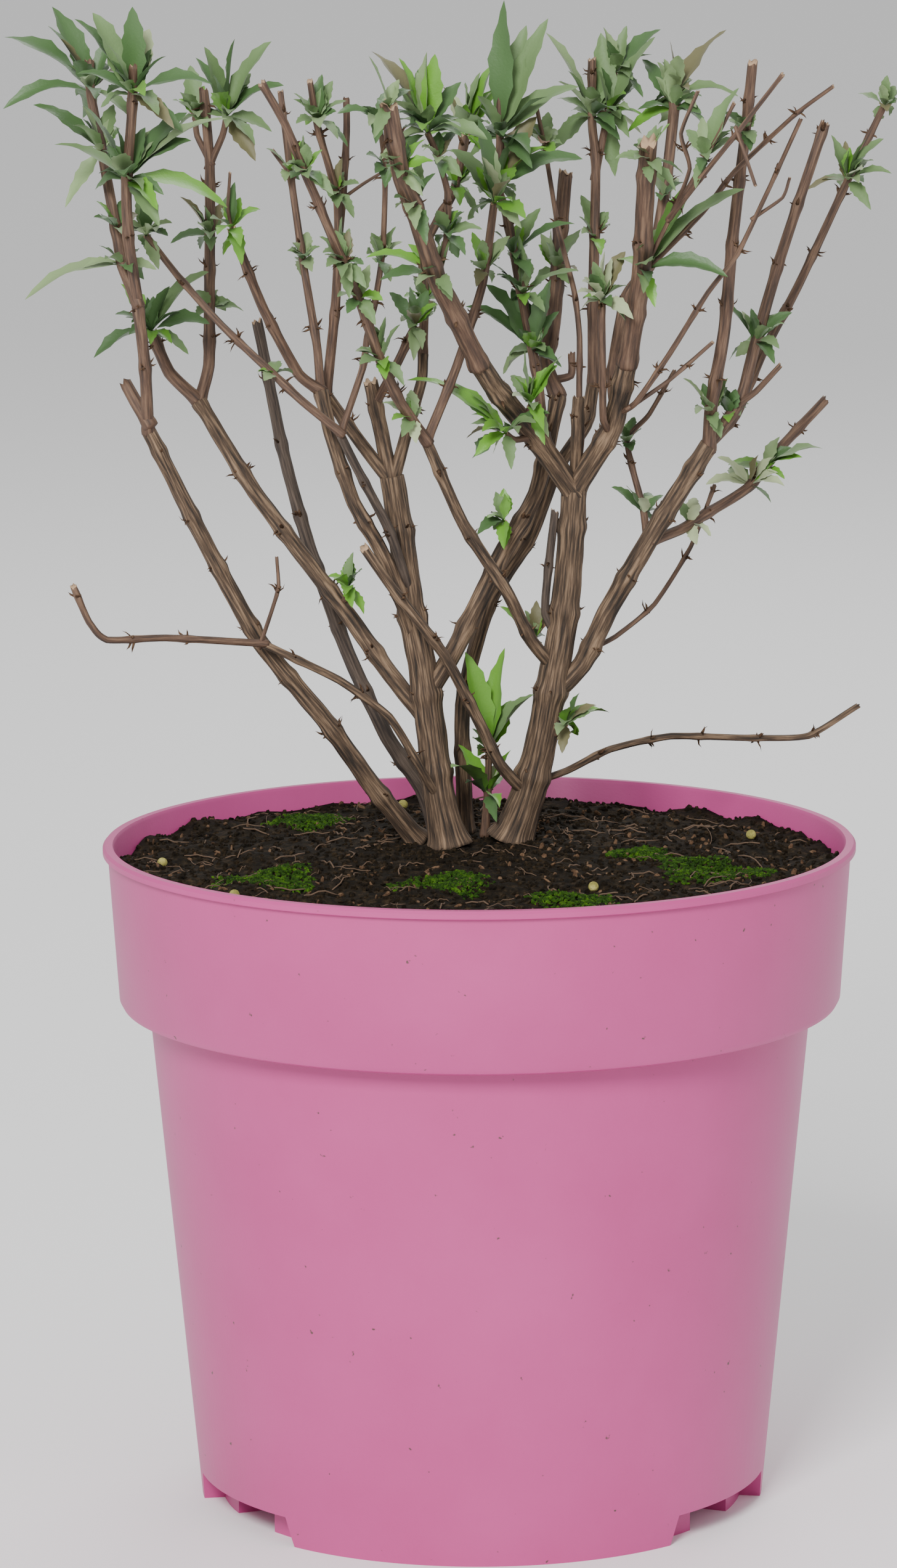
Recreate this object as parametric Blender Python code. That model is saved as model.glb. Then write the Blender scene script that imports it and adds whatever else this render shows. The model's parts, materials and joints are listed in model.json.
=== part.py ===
"""Potted butterfly bush in early leaf: a moulded pot filled with soil, and a multi-stemmed shrub.

Two short trunks and three more stems leave the soil, fork into boughs and end in sprays: pruned
twigs that carry whorls of young lance-shaped leaves. Neighbouring solids keep 0.3 mm clear.
"""

import math
import random
from dataclasses import dataclass

import bmesh
import bpy
import numpy as np
from mathutils import Vector

MM = 0.001
CLEAR = 0.3  # gap between neighbouring solids, mm

# Limb places are sighted: (across, up, back) in mm, where across and up are read in the upright
# plane through the pot's axis as seen from EYE, and back is the depth behind that plane.
EYE = Vector((0.0, -1562.0, 456.6))
REACH_TO_PLANE = -EYE.y

# Pot, mm
POT_SIDES = 40
LIP_RADIUS = 95.0
LIP_TOP = 168.6
LIP_DROP = 2.4
COLLAR_TOP_RADIUS = 93.7
COLLAR_FOOT_RADIUS = 91.1
COLLAR_FOOT = 127.5
COLLAR_ROUND = 2.0
BODY_TOP_RADIUS = 83.8
FOOT_RADIUS = 71.8
WALL = 1.7
FLOOR_UNDER = 9.0
FLOOR_TOP = 11.4
RING_OUTER = 66.5
RING_INNER = 50.0
HUB_RADIUS = 12.0
NOTCH_HEIGHT = 7.4
NOTCH_TURN = (42.5, 79.0)  # degrees from the front, mirrored to all four quarters
NOTCH_SLANT = 2.5
CHANNEL_TURN = (51.5, 68.0)
CUT_STEPS = 4
DRAIN_RADIUS = 4.0
DRAIN_RING = 31.0

# Soil, mm
SOIL_RINGS = 6
SOIL_SIDES = 20
SOIL_CROWN = 165.4
SOIL_CROWN_RADIUS = 40.0
SOIL_CROWN_BACK = 12.0
SOIL_EDGE = 162.6
SOIL_RELIEF = 1.1

# Limbs, mm
LIMB_SIDES = 6
TWIG_SIDES = 4
THIN_TWIG = 1.3
THREAD = 0.65
KNOT_SWELL = 1.12
BEAD_STEP = 1.2
LEAST_CUT = 0.9  # a limb's foot is cut back from each neighbour closer than this

# Leaves, mm and degrees
LEAF_THICK = 0.6
LEAF_NECK = 0.9
LEAF_WIDTH_SHARE = 0.23
LEAF_WIDTH_RANGE = (2.6, 5.2)
LEAF_ROOM = 0.45
LONG_LEAF = 17.0
LEAF_TILT = (22.0, 74.0)
LEAF_TRIES = 7
WHORL_SHARE = 0.35  # how many of a whorl's small leaves the solids carry
REACH_TRIES = (0.0, 4.0, -4.0, 8.0, -8.0, 12.0, -12.0)
GOLDEN_TURN = math.radians(137.5)

SEED = 11


@dataclass(frozen=True)
class Limb:
    """A tapering limb: the node that carries it, its sighted course and its two end radii."""

    name: str
    parent: str
    course: tuple
    foot_r: float
    tip_r: float
    flare: float = 1.0


@dataclass(frozen=True)
class Tuft:
    """A whorl of leaves near a sighted (across, up) place, and the tips of its longest leaves."""

    at: tuple
    leaves: int
    size: float
    reach: tuple = ()


@dataclass(frozen=True)
class Spray:
    """A mass of foliage: one stem, the twigs that fork from it and the tufts along them."""

    stem: Limb
    forks: tuple = ()
    tufts: tuple = ()


def place(across, up, back):
    """The point that lies `back` behind the sighted plane, on the line of sight to (across, up)."""
    return EYE + (Vector((across, 0.0, up)) - EYE) * (1.0 + back / REACH_TO_PLANE)


def on_soil(across, up):
    """A sighted foot on the soil's crown: its depth is where the line of sight meets the crown."""
    stretch = (EYE.z - SOIL_CROWN - CLEAR) / (EYE.z - up)
    return (across, up, REACH_TO_PLANE * (stretch - 1.0))


def limb(name, parent, course, foot_r, tip_r, flare=1.0):
    """A limb, with a two-number foot set on the soil's crown."""
    if len(course[0]) == 2:
        course = (on_soil(*course[0]),) + tuple(course[1:])
    return Limb(name, parent, tuple(course), foot_r, tip_r, flare)


BOUGHS = (
    limb("trunk_left", "soil", (
        (-7.4, 167.2), (-10, 180, 8), (-12, 196, 9), (-14.3, 214, 10), (-16.8, 228, 11),
        (-19, 245, 12), (-21.5, 261, 12)), 4.2, 3.2, 1.35),
    limb("trunk_right", "soil", (
        (8.0, 168.6), (12.3, 180, 15), (16.2, 195, 15), (18.8, 210, 15), (21.3, 224, 15),
        (23, 240, 15), (24.5, 260.5, 14)), 4.6, 3.3, 1.35),
    limb("stem_far_left", "soil", (
        (-15.5, 168.4), (-26.5, 182, 8), (-38, 198.5, 4), (-55, 219.5, 0), (-70, 248, -6),
        (-82, 272.5, -12)), 2.6, 1.9, 1.25),
    limb("stem_back_left", "soil", (
        (-10.5, 170.8), (-14.5, 182, 27), (-23, 195, 27), (-33, 217, 30), (-42.3, 243.5, 36),
        (-48.7, 268.3, 42), (-54.7, 300, 50)), 2.1, 1.4, 1.25),
    limb("stem_rear", "soil", (
        (-3.5, 170.7), (-4, 203, 24), (2.8, 229, 27), (13.3, 246, 36), (19.5, 262, 40),
        (27, 273.5, 42), (29, 284, 44)), 2.1, 1.7, 1.25),
    limb("stem_left", "trunk_left", (
        (-13.2, 199.5, 9.3), (-22, 210.6, 12), (-34, 228, 16), (-56, 257.5, 22),
        (-69.4, 280, 27)), 2.3, 1.95),
    limb("stem_mid_left", "trunk_left", (
        (-14.8, 217, 10.2), (-22.8, 239.3, 6), (-31, 254.5, 2), (-36.5, 271.6, 2),
        (-39, 282.5, 4)), 2.0, 1.8),
    limb("stem_thin_left", "trunk_left", (
        (-17.2, 231, 11.2), (-18.6, 236.5, 7), (-22.4, 248, 3), (-30.5, 263.8, -3),
        (-34.2, 271.5, -6)), 1.35, 1.15),
    limb("fork_left", "trunk_left", (
        (-21.2, 259, 12), (-29.2, 269.5, 13), (-37.3, 281, 11)), 1.8, 1.6),
    limb("fork_middle", "trunk_left", (
        (-21.4, 259, 12), (-24.2, 272.8, 15), (-26.5, 284.7, 17)), 2.1, 1.9),
    limb("fork_right", "trunk_left", (
        (-21.2, 259, 12), (-17.2, 273.5, 14), (-13.8, 285, 18), (-13.4, 291.5, 20)), 1.8, 1.35),
    limb("stem_ribbed", "trunk_left", (
        (-13.2, 205, 9.6), (-6.2, 216.5, 10), (-1.8, 225.5, 11), (6.6, 242.3, 16),
        (14.7, 256.5, 24), (20.3, 281, 32)), 2.5, 2.0),
    limb("bough_front", "trunk_right", (
        (24, 257, 14.3), (15, 270, 6), (5.1, 282.3, -5), (0.6, 289, -12)), 3.0, 2.7),
    limb("bough_right", "trunk_right", (
        (24.4, 258, 14.2), (33.6, 273, 7), (37.5, 289, -1)), 3.0, 2.6),
    limb("stub_centre", "trunk_right", (
        (24.4, 258.5, 14), (24.9, 270, 11), (25.3, 280.5, 9)), 1.7, 1.6),
    limb("stem_leaning", "trunk_right", (
        (19, 212.5, 15), (13.2, 219.5, 9.5), (7.2, 231.8, 3), (-3.7, 249, -3),
        (-12.6, 269.5, -12)), 1.75, 1.5),
    limb("stub_crossing", "trunk_right", (
        (12.3, 180, 15), (5.3, 187.8, 8), (0, 199, 5), (-8.5, 215.6, -1), (-21.3, 232.5, -6),
        (-28.5, 243, -9)), 1.65, 1.25),
    limb("stub_grey", "trunk_right", (
        (20.4, 219, 15), (16.9, 226, 14), (17.5, 236, 14), (19.4, 252, 14)), 1.15, 1.1),
    limb("stem_right", "trunk_right", (
        (18, 205, 15), (26, 213.2, 16), (32.5, 226.7, 16), (43.3, 245.2, 14),
        (57.8, 268.5, 12)), 2.6, 2.4),
    limb("branch_low_left", "trunk_left", (
        (-9.4, 177.5, 7.8), (-14.8, 187, 1), (-22.5, 200, -2), (-35, 209.5, -4),
        (-53.6, 218.6, -6)), 1.15, 1.0),
    limb("branch_low_right", "trunk_right", (
        (13.2, 183, 15), (22, 186, 20), (33, 191.5, 26), (48.3, 194.8, 34), (70, 194.2, 45),
        (83, 194.7, 52), (95.4, 202.3, 58)), 1.0, 0.8),
)

SPRAYS = (
    Spray(
        limb("spray_far_left", "stem_far_left", (
            (-82.2, 273.4, -12.4), (-82.8, 289, -18), (-84.5, 306, -22), (-86.3, 319.7, -25),
            (-86.8, 333, -27), (-85.3, 350, -30), (-84.5, 363.5, -32)), 1.6, 1.25),
        forks=(
            limb("", "", (
                (-84.5, 305, -22), (-88, 314, -19), (-89.3, 322, -17), (-92.5, 341, -12),
                (-95.2, 356, -8), (-95.5, 364.5, -7)), 1.5, 1.15),
            limb("", "", ((-82.2, 275, -13), (-85.2, 280, -11), (-87.6, 284.5, -9)), 1.8, 1.6),
        ),
        tufts=(
            Tuft((-84.6, 356), 7, 13, (
                (-99, 375), (-98.5, 361.5), (-94.5, 376.5), (-84.5, 378), (-80.5, 372.5),
                (-76.5, 366), (-65.3, 359))),
            Tuft((-95.8, 357), 5, 13, (
                (-116.5, 370.5), (-117, 353), (-104.5, 378), (-105.5, 373.5), (-100, 372))),
            Tuft((-86.8, 335), 6, 12, (
                (-61.5, 328.5), (-70.5, 345), (-61.5, 350.3), (-71.5, 352), (-89, 348.5),
                (-97, 354), (-104.5, 344), (-77.5, 331.5))),
            Tuft((-92.8, 342), 4, 11, ((-109.5, 354), (-97.5, 353.5), (-102, 328.5))),
            Tuft((-89.3, 323), 3, 9, ((-95, 326),)),
            Tuft((-87.8, 314), 3, 10, ((-112.3, 305.5), (-98, 313.5), (-79.5, 313))),
        )),
    Spray(
        limb("spray_left_low", "stem_left", (
            (-69.9, 280.6, 27.2), (-76.7, 287.3, 25), (-81, 297.5, 20)), 1.8, 1.5),
        tufts=(
            Tuft((-81, 298), 5, 9, (
                (-95.5, 291), (-90, 302), (-88.5, 309.5), (-66.7, 312.5), (-66.5, 299.5),
                (-74, 302.5), (-76.5, 309))),
        )),
    Spray(
        limb("spray_left", "stem_left", (
            (-69, 280.9, 27.4), (-66.8, 289, 30), (-66.5, 304, 33), (-66.2, 320, 36),
            (-66, 339.3, 38), (-67.3, 357.5, 40)), 1.65, 1.25),
        forks=(
            limb("", "", ((-66, 339, 38), (-62.8, 346, 37), (-61.7, 350.5, 36)), 1.0, 0.85),
            limb("", "", ((-66, 340, 38), (-69, 346, 41), (-69.5, 351, 42)), 0.9, 0.75),
        ),
        tufts=(
            Tuft((-61.7, 351), 6, 11, (
                (-67, 368), (-59.8, 370), (-69, 365.5), (-50.5, 369.3), (-47.5, 358.5),
                (-50.5, 347), (-55.5, 344))),
            Tuft((-69.5, 351.5), 5, 9, ((-70.5, 363.5), (-75, 355))),
            Tuft((-66.2, 321), 4, 9, ((-73.5, 331), (-76, 319.5), (-67.5, 329))),
            Tuft((-66.5, 303), 2, 7, ((-58, 302.5), (-61.5, 305))),
        )),
    Spray(
        limb("spray_cross", "stem_thin_left", (
            (-34.5, 272.3, -6.4), (-43.7, 280, -7), (-50.5, 286.5, -5), (-63.5, 299, 4),
            (-74, 311, 8), (-82, 321.5, 10)), 1.15, 0.85),
        tufts=(
            Tuft((-82, 322), 5, 9, ((-82, 333.5), (-75.5, 324.5), (-79, 313))),
            Tuft((-50.5, 286.5), 2, 5),
        )),
    Spray(
        limb("spray_mid_left_a", "stem_mid_left", (
            (-39.4, 283, 4), (-44.5, 286.8, 3), (-52.7, 302.3, -2), (-57, 313, -8),
            (-60.8, 323, -12)), 1.5, 1.15),
        forks=(limb("", "", ((-60.6, 322.5, -12), (-61.6, 328, -13), (-61, 337, -15)), 0.5, 0.4),),
        tufts=(
            Tuft((-61, 323), 4, 9, ((-53.5, 327.8), (-63, 316.5))),
        )),
    Spray(
        limb("spray_mid_left_b", "stem_mid_left", (
            (-39.1, 283.2, 4.2), (-39.8, 293.5, 8), (-43, 314, 14), (-46, 336.5, 20),
            (-48.3, 357, 24)), 1.2, 0.8),
        forks=(limb("", "", ((-46, 336.5, 20), (-50.5, 342.5, 22)), 0.7, 0.55),),
        tufts=(
            Tuft((-43.2, 315), 4, 7, ((-47, 317.5), (-38.8, 318.5))),
            Tuft((-46, 337), 3, 7),
        )),
    Spray(
        limb("spray_mid_left_c", "fork_left", (
            (-37.6, 281.6, 11), (-35.2, 303, 9), (-34.3, 318, 6), (-34.6, 331, 3),
            (-39.3, 348.5, -4), (-41, 359.5, -7)), 1.45, 0.8),
        forks=(
            limb("", "", ((-34.2, 320, 6), (-33, 331, 9), (-32, 347, 12), (-32, 355, 13)), 1.0, 0.9),
            limb("", "", ((-33, 330.5, 9), (-28, 334, 12), (-23, 337, 14)), 0.5, 0.4),
        ),
        tufts=(
            Tuft((-39.3, 349.5), 5, 9, ((-45, 356.5), (-32, 354.5), (-44.5, 349), (-34.5, 352))),
            Tuft((-34.6, 331.5), 4, 7, ((-37.5, 336), (-29, 334))),
        )),
    Spray(
        limb("spray_mid_left_d", "stem_thin_left", (
            (-33.9, 272.4, -6), (-28.5, 288, 0), (-27.3, 296, 2), (-25, 306, 2),
            (-23.2, 318, 0), (-22.5, 337.5, -4), (-24, 350, -7)), 0.95, 0.65),
        tufts=(
            Tuft((-23.7, 314.5), 4, 8, ((-26, 322), (-23.5, 321.5))),
            Tuft((-22.5, 338), 3, 6),
            Tuft((-24, 350), 3, 8, ((-34.3, 351.5),)),
        )),
    Spray(
        limb("spray_leaning", "stem_leaning", (
            (-12.9, 270.3, -12.4), (-19, 279.3, -17), (-24, 290, -22), (-29, 304.7, -28),
            (-32.7, 313.3, -33), (-39.5, 330, -41), (-42.5, 337, -44), (-47.3, 349, -48),
            (-53, 359, -52)), 1.5, 1.0),
        tufts=(
            Tuft((-16.3, 275), 3, 7, ((-23.7, 279.5), (-19.7, 281.5))),
            Tuft((-23.6, 290), 5, 8, ((-22.7, 301), (-19, 299), (-29, 293.5))),
            Tuft((-29, 305.5), 3, 7, ((-26.5, 314), (-23.3, 305))),
            Tuft((-33, 314), 5, 9, ((-39, 321), (-31.5, 323), (-35, 322.5), (-31.7, 305.5), (-28, 314))),
            Tuft((-42.3, 337), 5, 8, ((-42, 344), (-38, 342.5), (-46, 338))),
        )),
    Spray(
        limb("spray_slender", "stem_leaning", (
            (-12.4, 270.4, -12), (-5, 288.5, -4), (1.5, 309, 6), (4.5, 329, 9)), 1.3, 1.05),
        tufts=(
            Tuft((4.5, 330), 6, 11, ((-6, 342.5), (0.5, 350), (3.5, 345), (-1, 334))),
            Tuft((1.8, 312), 3, 9, ((1.5, 320), (-1, 322))),
        )),
    Spray(
        limb("spray_centre_left", "fork_right", (
            (-13.4, 292.2, 20.2), (-13, 304, 23), (-13.3, 317, 26), (-9, 326, 28),
            (-5.5, 332, 30), (-2.5, 346, 32)), 1.25, 1.15),
        tufts=(
            Tuft((-2.5, 347), 7, 12, ((7.5, 368.3), (4, 356.5), (1, 361.5), (-8, 358), (2, 342))),
            Tuft((-13, 304.5), 3, 8, ((-18, 306), (-8, 305))),
            Tuft((-5.3, 333), 3, 8, ((0.5, 326.5), (-1, 338))),
        )),
    Spray(
        limb("spray_dark", "fork_middle", (
            (-25.4, 279, 16), (-20.5, 288, 12), (-15.4, 298.5, 9)), 1.3, 1.1),
        tufts=(
            Tuft((-15.6, 299), 5, 8, ((-21.7, 307), (-16.5, 308.5), (-12, 307.5))),
        )),
    Spray(
        limb("spray_front", "bough_front", (
            (0.2, 289.6, -12.6), (-6, 302.8, -22), (-10, 310.5, -28), (-15.5, 328, -38),
            (-18.5, 336, -42), (-21.5, 353.5, -48)), 2.65, 2.2),
        forks=(
            limb("", "", (
                (-10, 310, -28), (-7.4, 320, -26), (-7.1, 332, -25), (-10, 342, -27),
                (-12, 346.5, -28)), 0.95, 0.8),
        ),
        tufts=(
            Tuft((-12, 347.5), 8, 13, (
                (-25.5, 367), (-19, 365), (-12, 366.5), (-10, 366), (-21, 358.5), (-3.5, 359),
                (-4, 350))),
            Tuft((-21.5, 353), 2, 8, ((-26.5, 365.5),)),
            Tuft((-18.5, 337), 5, 8, ((-12.5, 345), (-22.8, 339.5), (-10.5, 339.5))),
            Tuft((-14.8, 329), 4, 9, ((-10, 336.5), (-20, 328))),
            Tuft((-7.4, 321), 4, 8, ((-3, 327), (-4.5, 315.5), (1.5, 322.5))),
            Tuft((-10, 311), 4, 9, ((-27.5, 315.8), (-17, 319), (-24, 310))),
            Tuft((-9.5, 340), 3, 8, ((-6, 345), (-3.5, 335.5))),
        )),
    Spray(
        limb("spray_centre", "trunk_right", (
            (24, 257.5, 14.3), (17, 270.4, 21), (15, 286, 23), (11.4, 305.5, 23), (7.5, 326, 24),
            (5.5, 333, 24), (6, 344, 25), (6, 356.5, 26)), 1.5, 1.0),
        tufts=(
            Tuft((6, 345), 6, 13, ((7, 379), (18, 374.5), (12.5, 373), (25.5, 358), (18, 355.5))),
            Tuft((5.6, 333), 5, 11, ((15, 350.5), (26.5, 340), (11, 348), (17.5, 343))),
            Tuft((9.5, 316), 4, 10, ((16, 327.8), (24.5, 323.8))),
            Tuft((11.4, 306), 5, 10, ((3, 314.5), (25.5, 312.2), (12, 317), (10.7, 321))),
            Tuft((14, 292), 6, 10, ((-2.7, 303.5), (2.5, 309), (18.5, 310), (20.5, 302), (8.8, 308))),
        )),
    Spray(
        limb("spray_thread", "trunk_right", (
            (24.4, 258.5, 14.3), (26, 270, 22), (25.5, 281, 24), (25.6, 295.7, 27),
            (24.3, 307, 29), (20.5, 322, 33), (17.2, 342, 38), (14.8, 354, 41)), 0.95, 0.55),
        tufts=(
            Tuft((17, 343), 4, 8, ((21.5, 343.5), (12, 349))),
        )),
    Spray(
        limb("spray_torn", "stem_ribbed", (
            (19.9, 281.8, 32.6), (17.2, 289, 36), (19, 299, 40), (20.4, 317, 46),
            (22.3, 336.5, 52)), 2.1, 1.8),
        forks=(limb("", "", ((18.6, 285, 34), (23.4, 286, 35), (23.6, 291.5, 36)), 1.1, 1.0),),
        tufts=(
            Tuft((20.2, 312), 5, 9, ((16, 321.5), (26, 322.5), (22, 318))),
        )),
    Spray(
        limb("spray_back", "stem_rear", (
            (29, 284.8, 44.2), (29, 304, 47), (29.7, 338, 52), (28.8, 348.5, 54),
            (28.8, 364.5, 56)), 1.6, 1.1),
        forks=(limb("", "", ((29.6, 336, 52), (32.5, 350, 56), (35, 361, 59)), 1.1, 0.85),),
        tufts=(
            Tuft((28.8, 350), 6, 12, ((17.3, 371), (20.5, 359), (20, 355), (22, 348), (18, 341.5))),
            Tuft((32.7, 351), 6, 11, (
                (44.3, 370), (40, 359.5), (41.5, 350.3), (41, 346), (34.5, 335.5), (31, 371))),
            Tuft((35, 361), 6, 9, ((31.5, 372.3), (37.3, 372.7), (45.8, 371.7), (43.7, 365.5))),
            Tuft((29.3, 320), 3, 9, ((26, 331),)),
        )),
    Spray(
        limb("spray_straight", "bough_right", (
            (33.2, 271.8, 7.6), (31.5, 275, 1), (31.3, 288, -4), (31.1, 304.5, -6)), 1.0, 0.95),
        tufts=(
            Tuft((31.1, 305.5), 6, 9, ((25, 306.7), (29, 314.5), (32, 317), (37.5, 308.5), (37, 317))),
        )),
    Spray(
        limb("spray_back_right", "bough_right", (
            (34.7, 276.5, 5.2), (33.8, 287, 17), (37.3, 305.8, 30), (43.5, 314, 36),
            (47, 333, 46), (49.5, 355.5, 56)), 1.6, 1.45),
        tufts=(
            Tuft((49, 352), 6, 11, ((41.2, 364.5), (46.7, 364.5), (40, 352), (50, 359))),
            Tuft((49.5, 355.5), 5, 11, ((48.2, 369), (62, 371.5), (65, 355.2))),
            Tuft((46.5, 330), 3, 9, ((52, 334),)),
        )),
    Spray(
        limb("spray_right", "bough_right", (
            (37.7, 289.8, -1.4), (40.8, 310.3, -12), (41.8, 327, -21), (42.8, 344, -30)), 2.55, 2.2),
        forks=(
            limb("", "", (
                (41, 311, -12), (48.5, 326, -18), (53, 337.3, -21), (50.8, 346, -20),
                (55, 356.5, -19)), 0.6, 0.5),
            limb("", "", ((48.3, 325.5, -18), (57.5, 341, -25), (64, 353.5, -29)), 0.6, 0.45),
            limb("", "", (
                (48.3, 325.5, -18), (56.5, 336, -30), (65, 346.5, -38), (76, 360.5, -44)), 0.75, 0.55),
            limb("", "", (
                (41, 311, -12), (56, 326.3, -10), (64.5, 337, -13), (79, 350.5, -34),
                (88.5, 357.5, -42)), 0.8, 0.5),
            limb("", "", ((64.8, 346.2, -38), (69.3, 333, -40)), 0.5, 0.45),
        ),
        tufts=(
            Tuft((41.2, 312), 5, 10, (
                (56.5, 336), (66.5, 332.5), (47, 323.5), (62.5, 310.5))),
            Tuft((42.5, 339), 5, 9, ((34.5, 340), (48, 348.5), (51.5, 336))),
            Tuft((57, 340), 4, 9, ((52, 347), (56, 350), (65, 357.3))),
        )),
    Spray(
        limb("spray_slim_right", "bough_right", (
            (35.2, 276.5, 5), (39.5, 279, -1), (48, 291.3, -5), (57.5, 306.5, -9),
            (64.8, 316, -12), (72.5, 332, -16), (80.5, 349.5, -20)), 0.8, 0.55),
        forks=(
            limb("", "", ((38.5, 278.2, 0), (48, 284.8, -1), (58.8, 294.2, -2)), 0.6, 0.5),
            limb("", "", ((69.5, 325.5, -14), (76, 330, -12), (77.8, 335, -11)), 0.5, 0.4),
        )),
    Spray(
        limb("spray_right_front", "stem_right", (
            (57.9, 268.2, 12), (58.4, 277.8, 9), (61.6, 297, 4), (63.6, 319, -1),
            (66.7, 346, -8), (68.5, 363.5, -12)), 1.8, 1.3),
        tufts=(
            Tuft((58.3, 276), 4, 9, ((51.5, 285.3), (56.3, 284))),
            Tuft((66.7, 346.5), 4, 7, ((60, 351), (62.5, 349.5))),
        )),
    Spray(
        limb("spray_right_mid", "stem_right", (
            (57.6, 268.3, 12.2), (65.7, 279.7, 17), (69, 292.4, 21), (75.6, 315.4, 29),
            (86.5, 348.5, 39)), 1.65, 1.3),
        forks=(limb("", "", ((65, 278.5, 16), (69.5, 281.8, 14), (75.7, 288.4, 11)), 0.9, 0.7),),
        tufts=(
            Tuft((69.2, 294), 5, 10, ((61, 304), (66, 302), (78.5, 301.5), (64.5, 290.5))),
            Tuft((62.8, 276), 3, 7, ((61.5, 283), (64.5, 282.5))),
        )),
    Spray(
        limb("spray_right_back", "stem_right", (
            (57.4, 268.2, 12.4), (64.5, 276, 27), (71, 291, 36), (79.7, 307.6, 45),
            (91.5, 332.8, 58), (101, 352.5, 68)), 1.5, 0.9),
        tufts=(
            Tuft((92, 334), 6, 10, ((88, 345.5), (91.5, 344), (96.5, 344.5), (101, 344.5), (103, 336))),
            Tuft((101, 352.5), 4, 7, ((94.5, 355.7), (103.8, 357.5))),
        )),
    Spray(
        limb("spray_side", "stem_right", (
            (44, 244.6, 14), (51, 247.3, 20), (57, 251, 26), (67.7, 257.7, 36), (76, 268, 46),
            (87, 279.7, 56)), 1.45, 1.25),
        tufts=(
            Tuft((67.7, 258.5), 4, 9, ((60, 265.5), (70.2, 266))),
            Tuft((71, 261.8), 3, 10, ((75.5, 270.5), (86.3, 267.5))),
            Tuft((53, 248.6), 2, 7, ((55.5, 253.5),)),
        )),
    Spray(
        limb("spray_small_right", "stem_right", (
            (42.4, 243.8, 14.2), (41.5, 252, 19), (37.4, 269.4, 23), (43, 276.3, 23),
            (49.3, 287.3, 21)), 1.1, 0.5),
        tufts=(
            Tuft((41.6, 251), 3, 8, ((33.5, 258), (46.5, 256))),
            Tuft((37.6, 269), 3, 7),
        )),
    Spray(
        limb("spray_thin_far_right", "stem_right", (
            (27.6, 216.7, 16), (34.5, 220.2, 21), (44.3, 228.4, 29), (53.3, 242.7, 37),
            (59.3, 258.3, 43)), 0.7, 0.55)),
    Spray(
        limb("branch_low_left_tip", "branch_low_left", (
            (-54.3, 218.9, -6.3), (-78.3, 220.4, -14), (-93.3, 220, -20), (-97.7, 224.5, -22),
            (-101.5, 233.6, -24)), 1.0, 0.85),
        forks=(
            limb("", "", (
                (-54.6, 219, -6.4), (-51.6, 227.7, -8), (-50, 233.3, -9), (-50.4, 240.8, -10)),
                0.6, 0.45),
        )),
    Spray(
        limb("sprout_base", "soil", ((1.4, 169.3), (2.2, 180, 19), (2.6, 191, 18)), 1.3, 0.9),
        tufts=(
            Tuft((2.6, 191), 5, 12, ((-3, 216.5), (6.5, 217.5), (14, 205.5))),
            Tuft((2.2, 180), 4, 10, ((-5, 193), (-7, 187, 4), (8, 187, 2))),
        )),
    Spray(
        limb("sprout_right_base", "trunk_right", (
            (16.2, 194.4, 15), (20.2, 195.8, 12), (22, 197.8, 11)), 0.9, 0.75),
        tufts=(Tuft((22, 198), 4, 8, ((25.5, 206), (33, 201), (25, 195))),)),
    Spray(
        limb("sprout_trunk_left_side", "trunk_right", (
            (18.9, 211, 15), (15.2, 216, 18), (14.3, 219.5, 19)), 0.9, 0.75),
        tufts=(Tuft((14.3, 219.6), 4, 8, ((5.5, 228), (11.8, 227), (14.7, 229.5))),)),
    Spray(
        limb("sprout_ribbed", "stem_ribbed", (
            (8.9, 246, 18.2), (7.4, 248.2, 12), (6.6, 249.6, 10)), 0.8, 0.7),
        tufts=(Tuft((6.6, 249.8), 4, 8, ((4.5, 257), (3.2, 251.7), (4, 247.3))),)),
    Spray(
        limb("sprout_stem_left", "stem_left", (
            (-34.6, 228.6, 16.2), (-32.4, 231.2, 13), (-32.6, 233, 12)), 0.85, 0.7),
        tufts=(Tuft((-32.6, 233), 4, 7, ((-29, 237.5), (-37.5, 236))),)),
    Spray(
        limb("sprout_bough_under", "bough_front", (
            (14.3, 270.8, 5.3), (9.4, 270, -1), (7.2, 271.6, -3)), 0.95, 0.8),
        tufts=(
            Tuft((7.2, 271.8), 6, 11, (
                (-17.5, 285.5), (0.3, 284.5), (-1.8, 274), (-0.6, 266), (8.5, 262.5))),
        )),
    Spray(
        limb("sprout_bough_over", "bough_front", (
            (11.5, 274.5, 2), (12.8, 277, -2), (13.2, 278.5, -3)), 0.95, 0.8),
        tufts=(
            Tuft((13.2, 279), 5, 10, ((12, 292.5), (21.3, 291), (14.5, 286), (8.8, 281))),
        )),
)


def disc_solid(profile, sides, relief):
    """A solid of revolution closed by a centre point at each end; `relief` lifts the top's points."""
    bm = bmesh.new()
    foot = bm.verts.new((0, 0, profile[0][1] * MM))
    rings = []
    for radius, height in profile:
        ring = []
        for i in range(sides):
            turn = 2 * math.pi * i / sides
            x, y = radius * math.sin(turn), -radius * math.cos(turn)
            ring.append(bm.verts.new((x * MM, y * MM, relief(x, y, height) * MM)))
        rings.append(ring)
    top = bm.verts.new((0, 0, relief(0.0, 0.0, profile[-1][1]) * MM))
    for i in range(sides):
        j = (i + 1) % sides
        bm.faces.new((foot, rings[0][j], rings[0][i]))
        bm.faces.new((top, rings[-1][i], rings[-1][j]))
        for lower, upper in zip(rings, rings[1:]):
            bm.faces.new((lower[i], lower[j], upper[j], upper[i]))
    bmesh.ops.recalc_face_normals(bm, faces=bm.faces)
    return bm


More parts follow.
